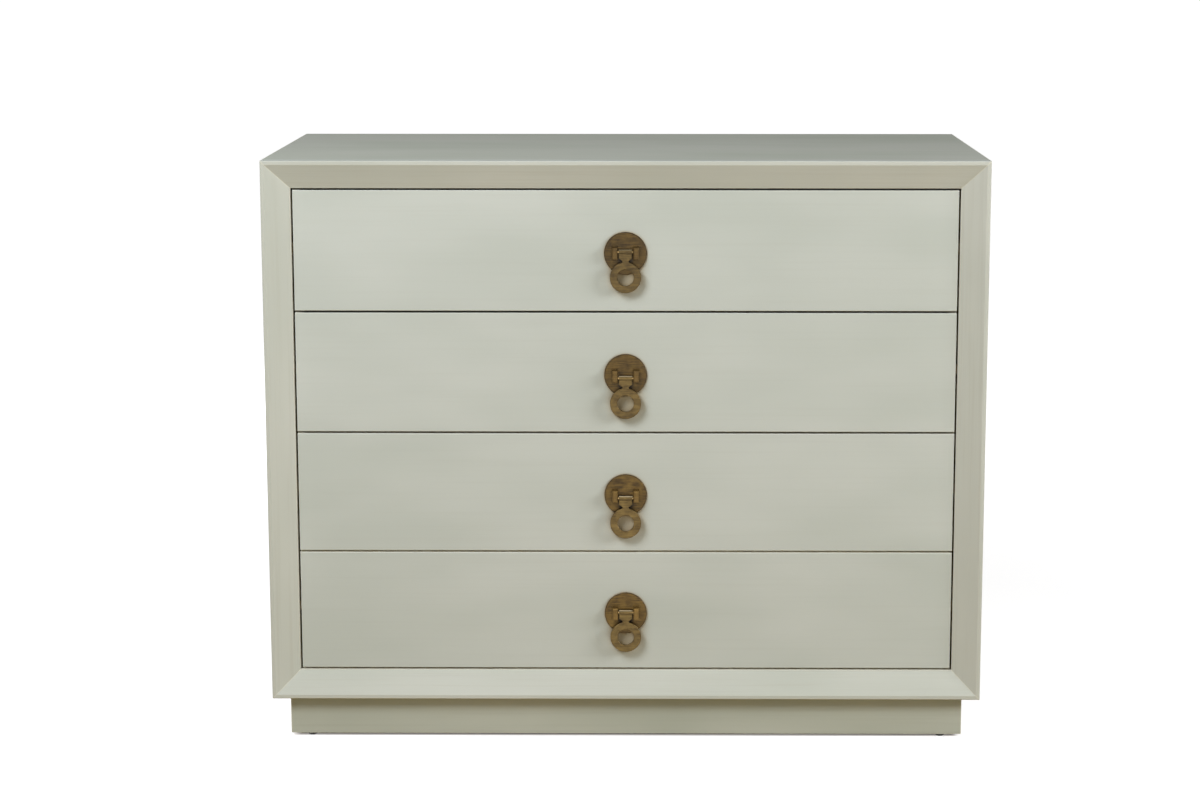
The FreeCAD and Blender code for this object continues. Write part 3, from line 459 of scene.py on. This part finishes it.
dress(bare_wood("maple_along", "Y", **MAPLE), "left_runners", "right_runners",
      *[f"drawer_{n}_{hand}_side" for n in DRAWER_NUMBERS for hand in ("left", "right")])
dress(bare_wood("maple_across", "X", **MAPLE), *[f"drawer_{n}_back" for n in DRAWER_NUMBERS])
dress(bare_wood("maple_upright", "Z", **MAPLE), "plinth_corner_blocks")
dress(bare_wood("birch_ply_upright", "Z", **BIRCH_PLY), "back_panel")
dress(bare_wood("birch_ply_along", "Y", **BIRCH_PLY), "mitre_splines",
      *[f"drawer_{n}_bottom" for n in DRAWER_NUMBERS])

# %% [markdown]
# ## Antique brass
# The pulls are brass that was brushed from side to side, darkened in a bath and rubbed with a cloth.  To the
# eye that gives a brown metal with fine level streaks and darker stains.  One dark brown would look like
# painted iron, so a stretched noise mixes brushed streaks into a noise of stains.  Each plate and ring is
# given its own tone, lighter the lower the pull hangs, which is a painted reflection of the pale floor below.

# %% Patina
BRUSH_MM = (26, 1.8)
STAIN_MM = 14


def toned(hex_text, tone):
    """A colour made lighter or darker."""
    return tuple(tone * share for share in colour(hex_text)[:3]) + (1.0,)


def patina(tree, spot, tone, brass):
    """Brushed and stained brass, before any wear.  Gives its colour and its brush marks."""
    # Brush lines are 0.1 mm apart, and are drawn 1.8 mm apart so that they show.
    brush_place = node(tree, "Mapping", {"Vector": spot, "Scale": along_grain("X", *BRUSH_MM)})
    brush = node(tree, "TexNoise", {
        "Vector": brush_place.outputs["Vector"], "Scale": 1, "Detail": 4, "Roughness": 0.6})
    stain = node(tree, "TexNoise", {
        "Vector": spot, "Scale": 1 / (STAIN_MM * MM), "Detail": 4, "Roughness": 0.6})
    stain_share = node(tree, "MapRange", {"Value": stain.outputs["Fac"], "From Min": 0.36, "From Max": 0.62})
    brush_share = node(tree, "MapRange", {
        "Value": brush.outputs["Fac"], "From Min": 0.42, "From Max": 0.72, "To Max": brass["rub"]})
    stained = node(tree, "Mix", {
        MIX_FACTOR: stain_share.outputs["Result"], MIX_FIRST: toned(brass["flat"], tone),
        MIX_SECOND: toned(brass["stained"], tone)}, data_type="RGBA")
    brushed = node(tree, "Mix", {
        MIX_FACTOR: brush_share.outputs["Result"], MIX_FIRST: stained.outputs[MIX_RESULT],
        MIX_SECOND: toned(brass["rubbed"], tone)}, data_type="RGBA")
    return brushed.outputs[MIX_RESULT], brush.outputs["Fac"]


print(f"brush lines {BRUSH_MM[0]} mm long, stains {STAIN_MM} mm across")

# %% Gloss and relief of the brass
# A bath leaves a skin that is part metal and part oxide, so it is less metallic than clean brass.
DARKENED_METALLIC = 0.65


def brushed_gloss(tree, brush):
    """Roughness that is smoother on the rubbed streaks."""
    return node(tree, "MapRange", {"Value": brush, "To Min": 0.5, "To Max": 0.34}).outputs["Result"]


def join_brass(tree, surface, finish, gloss, brush):
    """Join a brass colour and gloss to the surface, with the brush marks as relief."""
    bump = node(tree, "Bump", {"Height": brush, "Strength": 0.3, "Distance": 0.08 * MM})
    surface.inputs["Metallic"].default_value = DARKENED_METALLIC
    tree.links.new(finish, surface.inputs["Base Color"])
    tree.links.new(gloss, surface.inputs["Roughness"])
    tree.links.new(bump.outputs["Normal"], surface.inputs["Normal"])


print(f"darkened brass is {DARKENED_METALLIC:.0%} metallic")

# %% [markdown]
# ## Painted shade, wear and painted highlights on the pulls
# The plate behind the ring's tab is painted nearly black as the shadow of the tab and ring, and the plate's
# rim is painted dark as shade on its chamfer.  The ears stand out from the plate and are paler, partly rubbed
# and partly a painted highlight, and the top of the knuckle, where the ring turns, is polished smoother and
# carries a cream painted highlight.  A mask for each could be painted by hand, but the CAD model gives the
# plate's middle and the hinge line, so distances from those pick out the same places on all four pulls.

# %% Hinge lines
hinges = {joint["name"]: Vector(joint["pos_m"])
          for joint in frame["record"]["behaviour"]["joints"] if "pos_m" in joint}
print("hinge lines at", {name: round(spot.z / MM) for name, spot in hinges.items()}, "mm")

# %% Painted shade on the rim and painted shadow behind the tab
# Painted shadow: near black where the ring and its tab shade the plate; painted shade on the rim's chamfer.
TAB_SHADOW_BLACK = colour("#1D150B")
PLATE_RIM_SHADE = "#24180A"
RIM_INNER, RIM_OUTER = 1.4 * MM, 0.4 * MM
TAB_SHADOW_DROP = Vector((0, 0, 12 * MM))
TAB_SHADOW_OUTER, TAB_SHADOW_INNER = 14 * MM, 9 * MM


def plate_painted_shade(tree, spot, number, tone, on_plate, finish):
    """Paint shade on a plate at its rim, and the shadow of the tab and ring behind the tab."""
    low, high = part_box(f"drawer_{number}_pull_backplate")
    radius = (high.x - low.x) / 2
    off_middle, _ = distance_from(tree, spot, (low + high) / 2, FLAT_ON_FRONT)
    rim_shade = node(tree, "MapRange", {
        "Value": off_middle, "From Min": radius - RIM_INNER, "From Max": radius - RIM_OUTER, "To Max": 0.6})
    rim_shaded = node(tree, "Mix", {
        MIX_FACTOR: rim_shade.outputs["Result"], MIX_FIRST: finish, MIX_SECOND: toned(PLATE_RIM_SHADE, tone)},
        data_type="RGBA")
    behind_tab = hinges[f"ring_{number}_hinge"] - TAB_SHADOW_DROP
    off_hollow, _ = distance_from(tree, spot, behind_tab, FLAT_ON_FRONT)
    tab_shadow = node(tree, "MapRange", {
        "Value": off_hollow, "From Min": TAB_SHADOW_OUTER, "From Max": TAB_SHADOW_INNER, "To Max": on_plate})
    darkened = node(tree, "Mix", {
        MIX_FACTOR: tab_shadow.outputs["Result"], MIX_FIRST: rim_shaded.outputs[MIX_RESULT], MIX_SECOND: TAB_SHADOW_BLACK},
        data_type="RGBA")
    return darkened.outputs[MIX_RESULT]


print(f"the black hollow is {2 * TAB_SHADOW_OUTER / MM:.0f} mm across")

# %% Plates
PLATE_BRASS = dict(flat="#55421C", stained="#33250D", rubbed="#745A2B", rub=0.7)
# Plates are painted lighter the lower they hang, as a painted reflection.
PLATE_REFLECTION_TONES = {1: 0.66, 2: 0.8, 3: 1.04, 4: 1.24}
PLATE_THICKNESS = 3 * MM
EAR_BASE, EAR_OUTER = 3 * MM, 6 * MM


def plate_brass(number):
    """The round plate: painted shade at its rim, a painted shadow behind the tab, and ears paler from wear
    and a painted highlight.
    """
    tone = PLATE_REFLECTION_TONES[number]
    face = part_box(f"drawer_{number}_front")[0].y - PLATE_THICKNESS
    material, tree, surface = start_material(f"plate_brass_{number}")
    spot = node(tree, "TexCoord").outputs["Object"]
    finish, brush = patina(tree, spot, tone, PLATE_BRASS)
    depth = node(tree, "SeparateXYZ", {"Vector": spot}).outputs["Y"]
    on_plate = node(tree, "MapRange", {
        "Value": depth, "From Min": face - EAR_OUTER, "From Max": face - EAR_BASE, "To Max": 0.95})
    finish = plate_painted_shade(tree, spot, number, tone, on_plate.outputs["Result"], finish)
    # The ears are laid with the rubbed brass colour: partly wear, partly a painted highlight on their proud
    # faces.
    ear_wear_and_highlight = node(tree, "MapRange", {
        "Value": depth, "From Min": face - EAR_BASE, "From Max": face - EAR_OUTER, "To Max": 0.4})
    finish = node(tree, "Mix", {
        MIX_FACTOR: ear_wear_and_highlight.outputs["Result"], MIX_FIRST: finish,
        MIX_SECOND: toned(PLATE_BRASS["rubbed"], tone)}, data_type="RGBA").outputs[MIX_RESULT]
    join_brass(tree, surface, finish, brushed_gloss(tree, brush), brush)
    return material


for number in DRAWER_NUMBERS:
    dress(plate_brass(number), f"drawer_{number}_pull_backplate")

# %% Painted highlight on the knuckle
# A cream colour painted along the top of each knuckle is a painted highlight, set stronger on some pulls than
# others.
KNUCKLE_PAINTED_HIGHLIGHT = colour("#E6D8B6")
KNUCKLE_HIGHLIGHT_SHARES = {1: 0.4, 2: 0.8, 3: 1.0, 4: 0.8}
KNUCKLE_OUTER, KNUCKLE_INNER = 4.4 * MM, 3.7 * MM
HIGHLIGHT_BEGINS, HIGHLIGHT_FULL = 2.5 * MM, 3 * MM
ACROSS_HINGE = (0, 1, 1)


def knuckle_painted_highlight(tree, spot, number):
    """Share of the painted highlight: only close to the hinge line, and only on the top of the knuckle."""
    off_hinge, from_hinge = distance_from(tree, spot, hinges[f"ring_{number}_hinge"], ACROSS_HINGE)
    on_knuckle = node(tree, "MapRange", {
        "Value": off_hinge, "From Min": KNUCKLE_OUTER, "From Max": KNUCKLE_INNER,
        "To Max": KNUCKLE_HIGHLIGHT_SHARES[number]})
    above = node(tree, "SeparateXYZ", {"Vector": from_hinge})
    knuckle_highlight = node(tree, "MapRange", {
        "Value": above.outputs["Z"], "From Min": HIGHLIGHT_BEGINS, "From Max": HIGHLIGHT_FULL,
        "To Max": on_knuckle.outputs["Result"]})
    return knuckle_highlight.outputs["Result"]


print(f"knuckles shine from {HIGHLIGHT_FULL / MM:.0f} mm above the hinge line")

# %% Rings
RING_BRASS = dict(flat="#5A4926", stained="#3B2D14", rubbed="#725D32", rub=0.7)
# Rings are painted lighter the lower they hang, as a painted reflection.
RING_REFLECTION_TONES = {1: 0.82, 2: 1.05, 3: 1.28, 4: 1.28}
# A dark brown along the ring's edges is painted shade on the edges that turn away from the light.
RING_EDGE_SHADE = "#2D220E"
RING_EDGE_SHADE_REACH = dict(radius=1.4 * MM, samples=8, begins=0.99, full=0.75, most=0.6)
POLISHED_ROUGHNESS = 0.3


def ring_brass(number):
    """The ring with its tab: painted shade along its edges, and a painted highlight on the smoother top of
    its knuckle.
    """
    tone = RING_REFLECTION_TONES[number]
    material, tree, surface = start_material(f"ring_brass_{number}")
    spot = node(tree, "TexCoord").outputs["Object"]
    finish, brush = patina(tree, spot, tone, RING_BRASS)
    edge = edge_share(tree, **RING_EDGE_SHADE_REACH)
    finish = node(tree, "Mix", {
        MIX_FACTOR: edge, MIX_FIRST: finish, MIX_SECOND: toned(RING_EDGE_SHADE, tone)},
        data_type="RGBA").outputs[MIX_RESULT]
    knuckle_highlight = knuckle_painted_highlight(tree, spot, number)
    finish = node(tree, "Mix", {
        MIX_FACTOR: knuckle_highlight, MIX_FIRST: finish, MIX_SECOND: KNUCKLE_PAINTED_HIGHLIGHT},
        data_type="RGBA").outputs[MIX_RESULT]
    polished = node(tree, "MapRange", {
        "Value": knuckle_highlight, "To Min": brushed_gloss(tree, brush), "To Max": POLISHED_ROUGHNESS})
    join_brass(tree, surface, finish, polished.outputs["Result"], brush)
    return material


for number in DRAWER_NUMBERS:
    dress(ring_brass(number), f"drawer_{number}_pull_ring")

# %% Hinge pins
PIN_BRASS = dict(flat="#B99760", stained="#8F7145", rubbed="#DABC84", rub=0.9)
pin_brass, tree, surface = start_material("pin_brass")
finish, brush = patina(tree, node(tree, "TexCoord").outputs["Object"], 1, PIN_BRASS)
join_brass(tree, surface, finish, brushed_gloss(tree, brush), brush)
dress(pin_brass, *[f"drawer_{n}_pull_pin" for n in DRAWER_NUMBERS])

# %% [markdown]
# ## Black plastic glides and zinc-plated steel
# The glides are moulded plastic, to the eye dull, near black and scuffed.  The screws are steel with a thin
# zinc coat, which is a grey mirror broken by a crystal mottle about 2 mm across.  Both are small, so one even
# mottle in the colour, the gloss and the relief is all that shows of them, and one recipe makes both.

# %% Plastic and steel
MOTTLE_SPREAD = 0.2


def mottled(name, pale, dark, grain_mm, metallic, gloss):
    """A finish with one even mottle in its colour, gloss and relief."""
    material, tree, surface = start_material(name)
    spot = node(tree, "TexCoord").outputs["Object"]
    mottle = node(tree, "TexNoise", {
        "Vector": spot, "Scale": 1 / (grain_mm * MM), "Detail": 4, "Roughness": 0.6})
    share = node(tree, "MapRange", {"Value": mottle.outputs["Fac"], "From Min": 0.3, "From Max": 0.7})
    mixed = node(tree, "Mix", {
        MIX_FACTOR: share.outputs["Result"], MIX_FIRST: colour(pale), MIX_SECOND: colour(dark)},
        data_type="RGBA")
    sheen = node(tree, "MapRange", {
        "Value": mottle.outputs["Fac"], "To Min": gloss, "To Max": gloss + MOTTLE_SPREAD})
    bump = node(tree, "Bump", {"Height": mottle.outputs["Fac"], "Strength": 0.2, "Distance": 0.05 * MM})
    surface.inputs["Metallic"].default_value = metallic
    tree.links.new(mixed.outputs[MIX_RESULT], surface.inputs["Base Color"])
    tree.links.new(sheen.outputs["Result"], surface.inputs["Roughness"])
    tree.links.new(bump.outputs["Normal"], surface.inputs["Normal"])
    return material


dress(mottled("glide_plastic", "#2A2825", "#1A1917", grain_mm=1.5, metallic=0, gloss=0.45), "glides")
zinc = mottled("zinc_plate", "#C2C1BA", "#8F8E88", grain_mm=2, metallic=1, gloss=0.28)
print(f"{zinc.name}: for the screws")

# %% [markdown]
# ## Screws with cross recesses
# A CAD screw is a plain turned solid.  A real one has a cross-shaped recess in its head, and that is what the
# eye looks for on the back of a chest.  Each screw could be placed by hand, but the places are in the CAD
# pieces already: each loose solid of a screw group has a box, and the box gives the middle line, the length
# and the head's diameter.

# %% Find the separate screws of a group
SAME_PLACE = 0.001 * MM


def solid_boxes(name):
    """Lowest and highest corners of each separate solid in a CAD piece."""
    mesh = bmesh.new()
    mesh.from_mesh(nodes[name].data)
    bmesh.ops.remove_doubles(mesh, verts=mesh.verts, dist=SAME_PLACE)
    left = set(mesh.verts)
    boxes = []
    while left:
        island = [left.pop()]
        for vert in island:
            for edge in vert.link_edges:
                other = edge.other_vert(vert)
                if other in left:
                    left.remove(other)
                    island.append(other)
        spots = [tuple(vert.co) for vert in island]
        boxes.append((tuple(map(min, zip(*spots))), tuple(map(max, zip(*spots)))))
    mesh.free()
    return [(Vector(low), Vector(high)) for low, high in sorted(boxes)]


print({name: len(solid_boxes(name)) for name in nodes if name.endswith("screws")})

# %% [markdown]
# ## Turning a screw and cutting its recess
# A screw is a turned shape, so Spin makes it from half of its outline.  The recess is a plus that tapers as
# it goes in.  It could be modelled into the head face by face, but a Boolean takes it out of any head, flat
# or round, with the same small plug.

# %% Turn a blank
SCREW_STEPS = 32


def turned_mesh(name, outline):
    """Spin half an outline of (radius, height) points about the Z axis into a closed mesh."""
    mesh = bmesh.new()
    verts = [mesh.verts.new((radius, 0, height)) for radius, height in outline]
    edges = [mesh.edges.new(pair) for pair in zip(verts, verts[1:])]
    bmesh.ops.spin(mesh, geom=verts + edges, cent=(0, 0, 0), axis=(0, 0, 1), angle=2 * math.pi,
                   steps=SCREW_STEPS, use_merge=True)
    bmesh.ops.remove_doubles(mesh, verts=mesh.verts, dist=SAME_PLACE)
    bmesh.ops.recalc_face_normals(mesh, faces=mesh.faces)
    data = bpy.data.meshes.new(name)
    mesh.to_mesh(data)
    mesh.free()
    return data


print(f"screws are turned in {SCREW_STEPS} steps")

# %% Make the plug for the recess
PLUG_TAPER = 0.45
PLUG_RISE = 1.1


def cross_cutter(reach, width, depth, top):
    """A plus-shaped plug that tapers downwards from just above the head."""
    mesh = bmesh.new()
    half = width / 2
    outline = [(half, half), (half, reach), (-half, reach), (-half, half), (-reach, half), (-reach, -half),
               (-half, -half), (-half, -reach), (half, -reach), (half, -half), (reach, -half), (reach, half)]
    face = mesh.faces.new([mesh.verts.new((x, y, top - depth)) for x, y in outline])
    bmesh.ops.scale(mesh, vec=(PLUG_TAPER, PLUG_TAPER, 1), verts=mesh.verts)
    grown = bmesh.ops.extrude_face_region(mesh, geom=[face])["geom"]
    raised = [item for item in grown if isinstance(item, bmesh.types.BMVert)]
    bmesh.ops.scale(mesh, vec=(1 / PLUG_TAPER, 1 / PLUG_TAPER, 1), verts=raised)
    bmesh.ops.translate(mesh, vec=(0, 0, depth * PLUG_RISE), verts=raised)
    bmesh.ops.recalc_face_normals(mesh, faces=mesh.faces)
    data = bpy.data.meshes.new("cross_cutter")
    mesh.to_mesh(data)
    mesh.free()
    return data


print(f"a plug tapers to {PLUG_TAPER:.0%} of its width")

# %% Cut the recess
# Shares of the head's radius.
RECESS_REACH, RECESS_WIDTH, RECESS_DEPTH = 0.62, 0.3, 0.5


def recessed_screw(name, outline):
    """Turn a screw with its head uppermost, and cut the cross recess into the head."""
    head = max(radius for radius, height in outline)
    top = max(height for radius, height in outline)
    blank = bpy.data.objects.new(name, turned_mesh(name, outline))
    cutter = bpy.data.objects.new("cutter", cross_cutter(
        RECESS_REACH * head, RECESS_WIDTH * head, RECESS_DEPTH * head, top))
    for thing in (blank, cutter):
        bpy.context.scene.collection.objects.link(thing)
    cut = blank.modifiers.new("recess", "BOOLEAN")
    cut.object = cutter
    cut.solver = "EXACT"
    bpy.context.view_layer.update()
    finished = bpy.data.meshes.new_from_object(blank.evaluated_get(bpy.context.evaluated_depsgraph_get()))
    for thing in (blank, cutter):
        bpy.data.objects.remove(thing)
    return finished


print(f"a recess is {RECESS_DEPTH:.0%} of the head's radius deep")

# %% [markdown]
# ## Fitting the screws
# The back, the plinth and the runners have countersunk wood screws, and the pulls are held from inside the
# drawers by machine screws with low round heads.  Every screw of a group is a copy of one mesh, turned a bit
# further than the last, because nobody drives screws until their crosses line up.

# %% Two outlines
SHANK_SHARE = 0.5
PAN_RISE = 0.65
# From the middle of a round head to its rim: shares of its radius, and of its rise down from the top.
PAN_CURVE = [(0, 0), (0.55, 0.06), (0.85, 0.3), (1, 0.7), (1, 1)]


def countersunk(head, length):
    """Half outline of a countersunk wood screw: flat head, cone, shank and point."""
    shank = SHANK_SHARE * head
    return [(0, 0), (head, 0), (shank, shank - head), (shank, head - length), (0, -length)]


def pan_headed(head, length):
    """Half outline of a machine screw with a low round head."""
    shank = SHANK_SHARE * head
    rise = PAN_RISE * head
    curve = [(out * head, -down * rise) for out, down in PAN_CURVE]
    return curve + [(shank, -rise), (shank, -length), (0, -length)]


print(f"{len(countersunk(1, 8))} points for a countersunk screw, {len(pan_headed(1, 8))} for a pan head")

# %% Fit them
TURN_EACH_RADIANS = 2.4


def screw_size(low, high, way):
    """Head radius and length of a screw that points along way."""
    length = abs((high - low).dot(way))
    head = max(side for side, share in zip(high - low, way) if abs(share) < 0.5)
    return head / 2, length


def screw_set(name, cad_name, body, head_towards, outline_for):
    """Replace a CAD group of screws.  head_towards gives each screw's way out from its middle."""
    boxes = [(low, high, head_towards((low + high) / 2)) for low, high in solid_boxes(cad_name)]
    template = recessed_screw(name, outline_for(*screw_size(*boxes[0])))
    whole = bmesh.new()
    for count, (low, high, way) in enumerate(boxes):
        _, length = screw_size(low, high, way)
        head_place = Matrix.Translation((low + high) / 2 + way * length / 2)
        one = template.copy()
        one.transform(head_place @ way.to_track_quat("Z", "Y").to_matrix().to_4x4()
                      @ Matrix.Rotation(count * TURN_EACH_RADIANS, 4, "Z"))
        whole.from_mesh(one)
        bpy.data.meshes.remove(one)
    bpy.data.meshes.remove(template)
    data = bpy.data.meshes.new(name)
    whole.to_mesh(data)
    whole.free()
    data.materials.append(zinc)
    piece = bpy.data.objects.new(name, data)
    bpy.context.scene.collection.objects.link(piece)
    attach(piece, body)
    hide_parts(cad_name)
    print(f"{name}: {len(boxes)} screws, {len(data.polygons)} faces")


screw_set("back_screws", "back_panel_screws", "case", lambda spot: Vector((0, 1, 0)), countersunk)
screw_set("plinth_block_screws", "plinth_screws", "case", lambda spot: Vector((0, 0, -1)), countersunk)
screw_set("runner_fixings", "runner_screws", "case",
          lambda spot: Vector((-math.copysign(1, spot.x), 0, 0)), countersunk)
for number in DRAWER_NUMBERS:
    screw_set(f"drawer_{number}_pull_fixings", f"drawer_{number}_pull_screws", f"drawer_{number}",
              lambda spot: Vector((0, 1, 0)), pan_headed)

# %% [markdown]
# ## The camera
# The picture was taken square to the front from a little above the top, so the sides of the chest don't
# show.  The camera could be aimed at the chest by a constraint, but a place and two angles say plainly where
# it stands.  It has a long lens, and the lens is shifted a little, so that the camera can be tilted less and
# the uprights stay more nearly parallel.

# %% Camera
CAMERA_AHEAD = 3.5
CAMERA_ASIDE = 0.044
CAMERA_HEIGHT = 1.204
CAMERA_DOWN = math.radians(9.02)
CAMERA_TURN = math.radians(0.37)
SENSOR_MM = 36
LENS_MM = 72.3
LENS_SHIFT = (-0.0333, -0.07)
camera = bpy.data.objects.new("camera", bpy.data.cameras.new("camera"))
camera.data.sensor_width = SENSOR_MM
camera.data.lens = LENS_MM
camera.data.shift_x, camera.data.shift_y = LENS_SHIFT
camera.location = (CAMERA_ASIDE, cad_low.y - CAMERA_AHEAD, CAMERA_HEIGHT)
camera.rotation_euler = (math.pi / 2 - CAMERA_DOWN, 0, CAMERA_TURN)
bpy.context.scene.collection.objects.link(camera)
bpy.context.scene.camera = camera
print(f"camera {CAMERA_AHEAD} m ahead, {LENS_MM} mm lens")

# %% [markdown]
# ## The lamps
# Each ring throws a clear shadow to its right and a fainter one to its left, so the light comes from several
# sides.  The key box stands to the left, well up, and the side box far to the right and lower.  A large box
# by the camera fills the front, and one behind the chest lights its back for views from there.  Point or sun
# lamps could stand in their places, but the size of an area lamp sets how soft a shadow's edge is.


# %% Soft boxes
def soft_box(name, aside, up, away, side, watts, tint):
    """A square lamp that faces the middle of the chest's front.  aside and up are in degrees."""
    target = Vector((0, cad_low.y, chest_middle.z))
    aside, up = math.radians(aside), math.radians(up)
    way = Vector((math.sin(aside) * math.cos(up), -math.cos(aside) * math.cos(up), math.sin(up)))
    lamp = bpy.data.objects.new(name, bpy.data.lights.new(name, "AREA"))
    lamp.data.shape = "SQUARE"
    lamp.data.size = side
    lamp.data.energy = watts
    lamp.data.color = colour(tint)[:3]
    lamp.location = target + way * away
    lamp.rotation_euler = way.to_track_quat("Z", "Y").to_euler()
    lamp.visible_camera = False
    bpy.context.scene.collection.objects.link(lamp)
    print(f"{name}: {watts} W from {tuple(round(x, 2) for x in lamp.location)}")
    return lamp


soft_box("key_box", aside=-39, up=42.5, away=3.0, side=1.2, watts=69, tint="#F6F9FF")
soft_box("side_box", aside=69, up=20, away=3.0, side=0.9, watts=50, tint="#FAFCFF")
soft_box("front_box", aside=6, up=8, away=4.2, side=2.0, watts=38, tint="#FFFCF0")
back_box = soft_box("back_box", aside=215, up=0, away=3.6, side=0.8, watts=70, tint="#FAFCFF")
# This lamp only has to light the back, so it is kept out of reflections, where a bright square would show.
back_box.visible_glossy = False

# %% [markdown]
# ## The floor and what is around
# The floor is seen as white, but the light that it throws back up has the warm tint of pale boards, and that
# is what colours the shadow under the case.  A plain white floor would do neither well: it would grey off in
# the distance and throw back cold light.  So a Light Path node keeps the two jobs apart, for the floor and
# for the white surroundings.  The white fades out under the plinth, which leaves a thin dark line there.


# %% White to look at
def seen_directly(tree):
    """Share that is 1 for what is looked at, mirrored or seen through, and 0 for light that is thrown on."""
    ray = node(tree, "LightPath")
    mirrored = node(tree, "Math", {
        0: ray.outputs["Is Camera Ray"], 1: ray.outputs["Is Glossy Ray"]}, operation="MAXIMUM")
    seen = node(tree, "Math", {
        0: mirrored.outputs["Value"], 1: ray.outputs["Is Transmission Ray"]}, operation="MAXIMUM")
    return seen.outputs["Value"]


WHITE = colour("#FFFFFF")
FOOT_INSET = 14 * MM
foot_low, foot_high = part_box("plinth_front")[0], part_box("plinth_back")[1]
foot_middle, foot_half = (foot_low + foot_high) / 2, (foot_high - foot_low) / 2
foot_middle.z = 0
foot_half = Vector((foot_half.x - FOOT_INSET, foot_half.y - FOOT_INSET, 0))
print(f"the floor stays dark under {2 * foot_half.x / MM:.0f} by {2 * foot_half.y / MM:.0f} mm of the plinth")

# %% Glow of the floor
NEAR_GLOW, FAR_GLOW = 0.76, 0.24
FAR_BEGINS, FAR_FULL = 0.5, 2


def floor_glow(tree):
    """Emission that lifts the lit floor to white, first just outside the plinth and then far from it."""
    off_middle = node(tree, "VectorMath", {
        0: node(tree, "TexCoord").outputs["Object"], 1: foot_middle}, operation="SUBTRACT")
    off_middle = node(tree, "VectorMath", {0: off_middle.outputs["Vector"]}, operation="ABSOLUTE")
    off_foot = node(tree, "VectorMath", {0: off_middle.outputs["Vector"], 1: foot_half}, operation="SUBTRACT")
    off_foot = node(tree, "VectorMath", {0: off_foot.outputs["Vector"], 1: (0, 0, 0)}, operation="MAXIMUM")
    off_foot = node(tree, "VectorMath", {0: off_foot.outputs["Vector"]}, operation="LENGTH")
    near = node(tree, "MapRange", {
        "Value": off_foot.outputs["Value"], "From Max": FOOT_INSET, "To Max": NEAR_GLOW})
    far = node(tree, "MapRange", {
        "Value": off_foot.outputs["Value"], "From Min": FAR_BEGINS, "From Max": FAR_FULL, "To Max": FAR_GLOW})
    level = node(tree, "Math", {0: near.outputs["Result"], 1: far.outputs["Result"]}, operation="ADD")
    return node(tree, "Emission", {"Color": WHITE, "Strength": level.outputs["Value"]})


print(f"the floor glows {NEAR_GLOW} by the plinth and {NEAR_GLOW + FAR_GLOW} from {FAR_FULL} m off")

# %% Floor
FLOOR_HALF = 60
FLOOR_BOARDS = colour("#9B7B3A")
FLOOR_PALE = colour("#CCCCCC")
floor_mesh = bmesh.new()
bmesh.ops.create_grid(floor_mesh, x_segments=1, y_segments=1, size=FLOOR_HALF)
floor_data = bpy.data.meshes.new("floor")
floor_mesh.to_mesh(floor_data)
floor_mesh.free()
floor = bpy.data.objects.new("floor", floor_data)
bpy.context.scene.collection.objects.link(floor)
floor_finish = bpy.data.materials.new("floor_boards")
floor_finish.use_nodes = True
tree = floor_finish.node_tree
tree.nodes.clear()
boards = node(tree, "BsdfDiffuse", {"Color": FLOOR_BOARDS})
shadow_catch = node(tree, "BsdfDiffuse", {"Color": FLOOR_PALE})
white_floor = node(tree, "AddShader", {
    0: shadow_catch.outputs["BSDF"], 1: floor_glow(tree).outputs["Emission"]})
floor_mix = node(tree, "MixShader", {
    0: seen_directly(tree), 1: boards.outputs["BSDF"], 2: white_floor.outputs["Shader"]})
node(tree, "OutputMaterial", {"Surface": floor_mix.outputs["Shader"]})
floor_data.materials.append(floor_finish)
print(f"floor {2 * FLOOR_HALF} m wide")

# %% Surroundings
AMBIENT = 0.04
world = bpy.data.worlds.new("studio")
world.use_nodes = True
tree = world.node_tree
tree.nodes.clear()
strength = node(tree, "MapRange", {"Value": seen_directly(tree), "To Min": AMBIENT, "To Max": 1})
sky = node(tree, "Background", {"Color": WHITE, "Strength": strength.outputs["Result"]})
node(tree, "OutputWorld", {"Surface": sky.outputs["Background"]})
bpy.context.scene.world = world
bpy.context.scene.view_settings.view_transform = "Standard"
print(f"white surroundings that light the chest with {AMBIENT}")
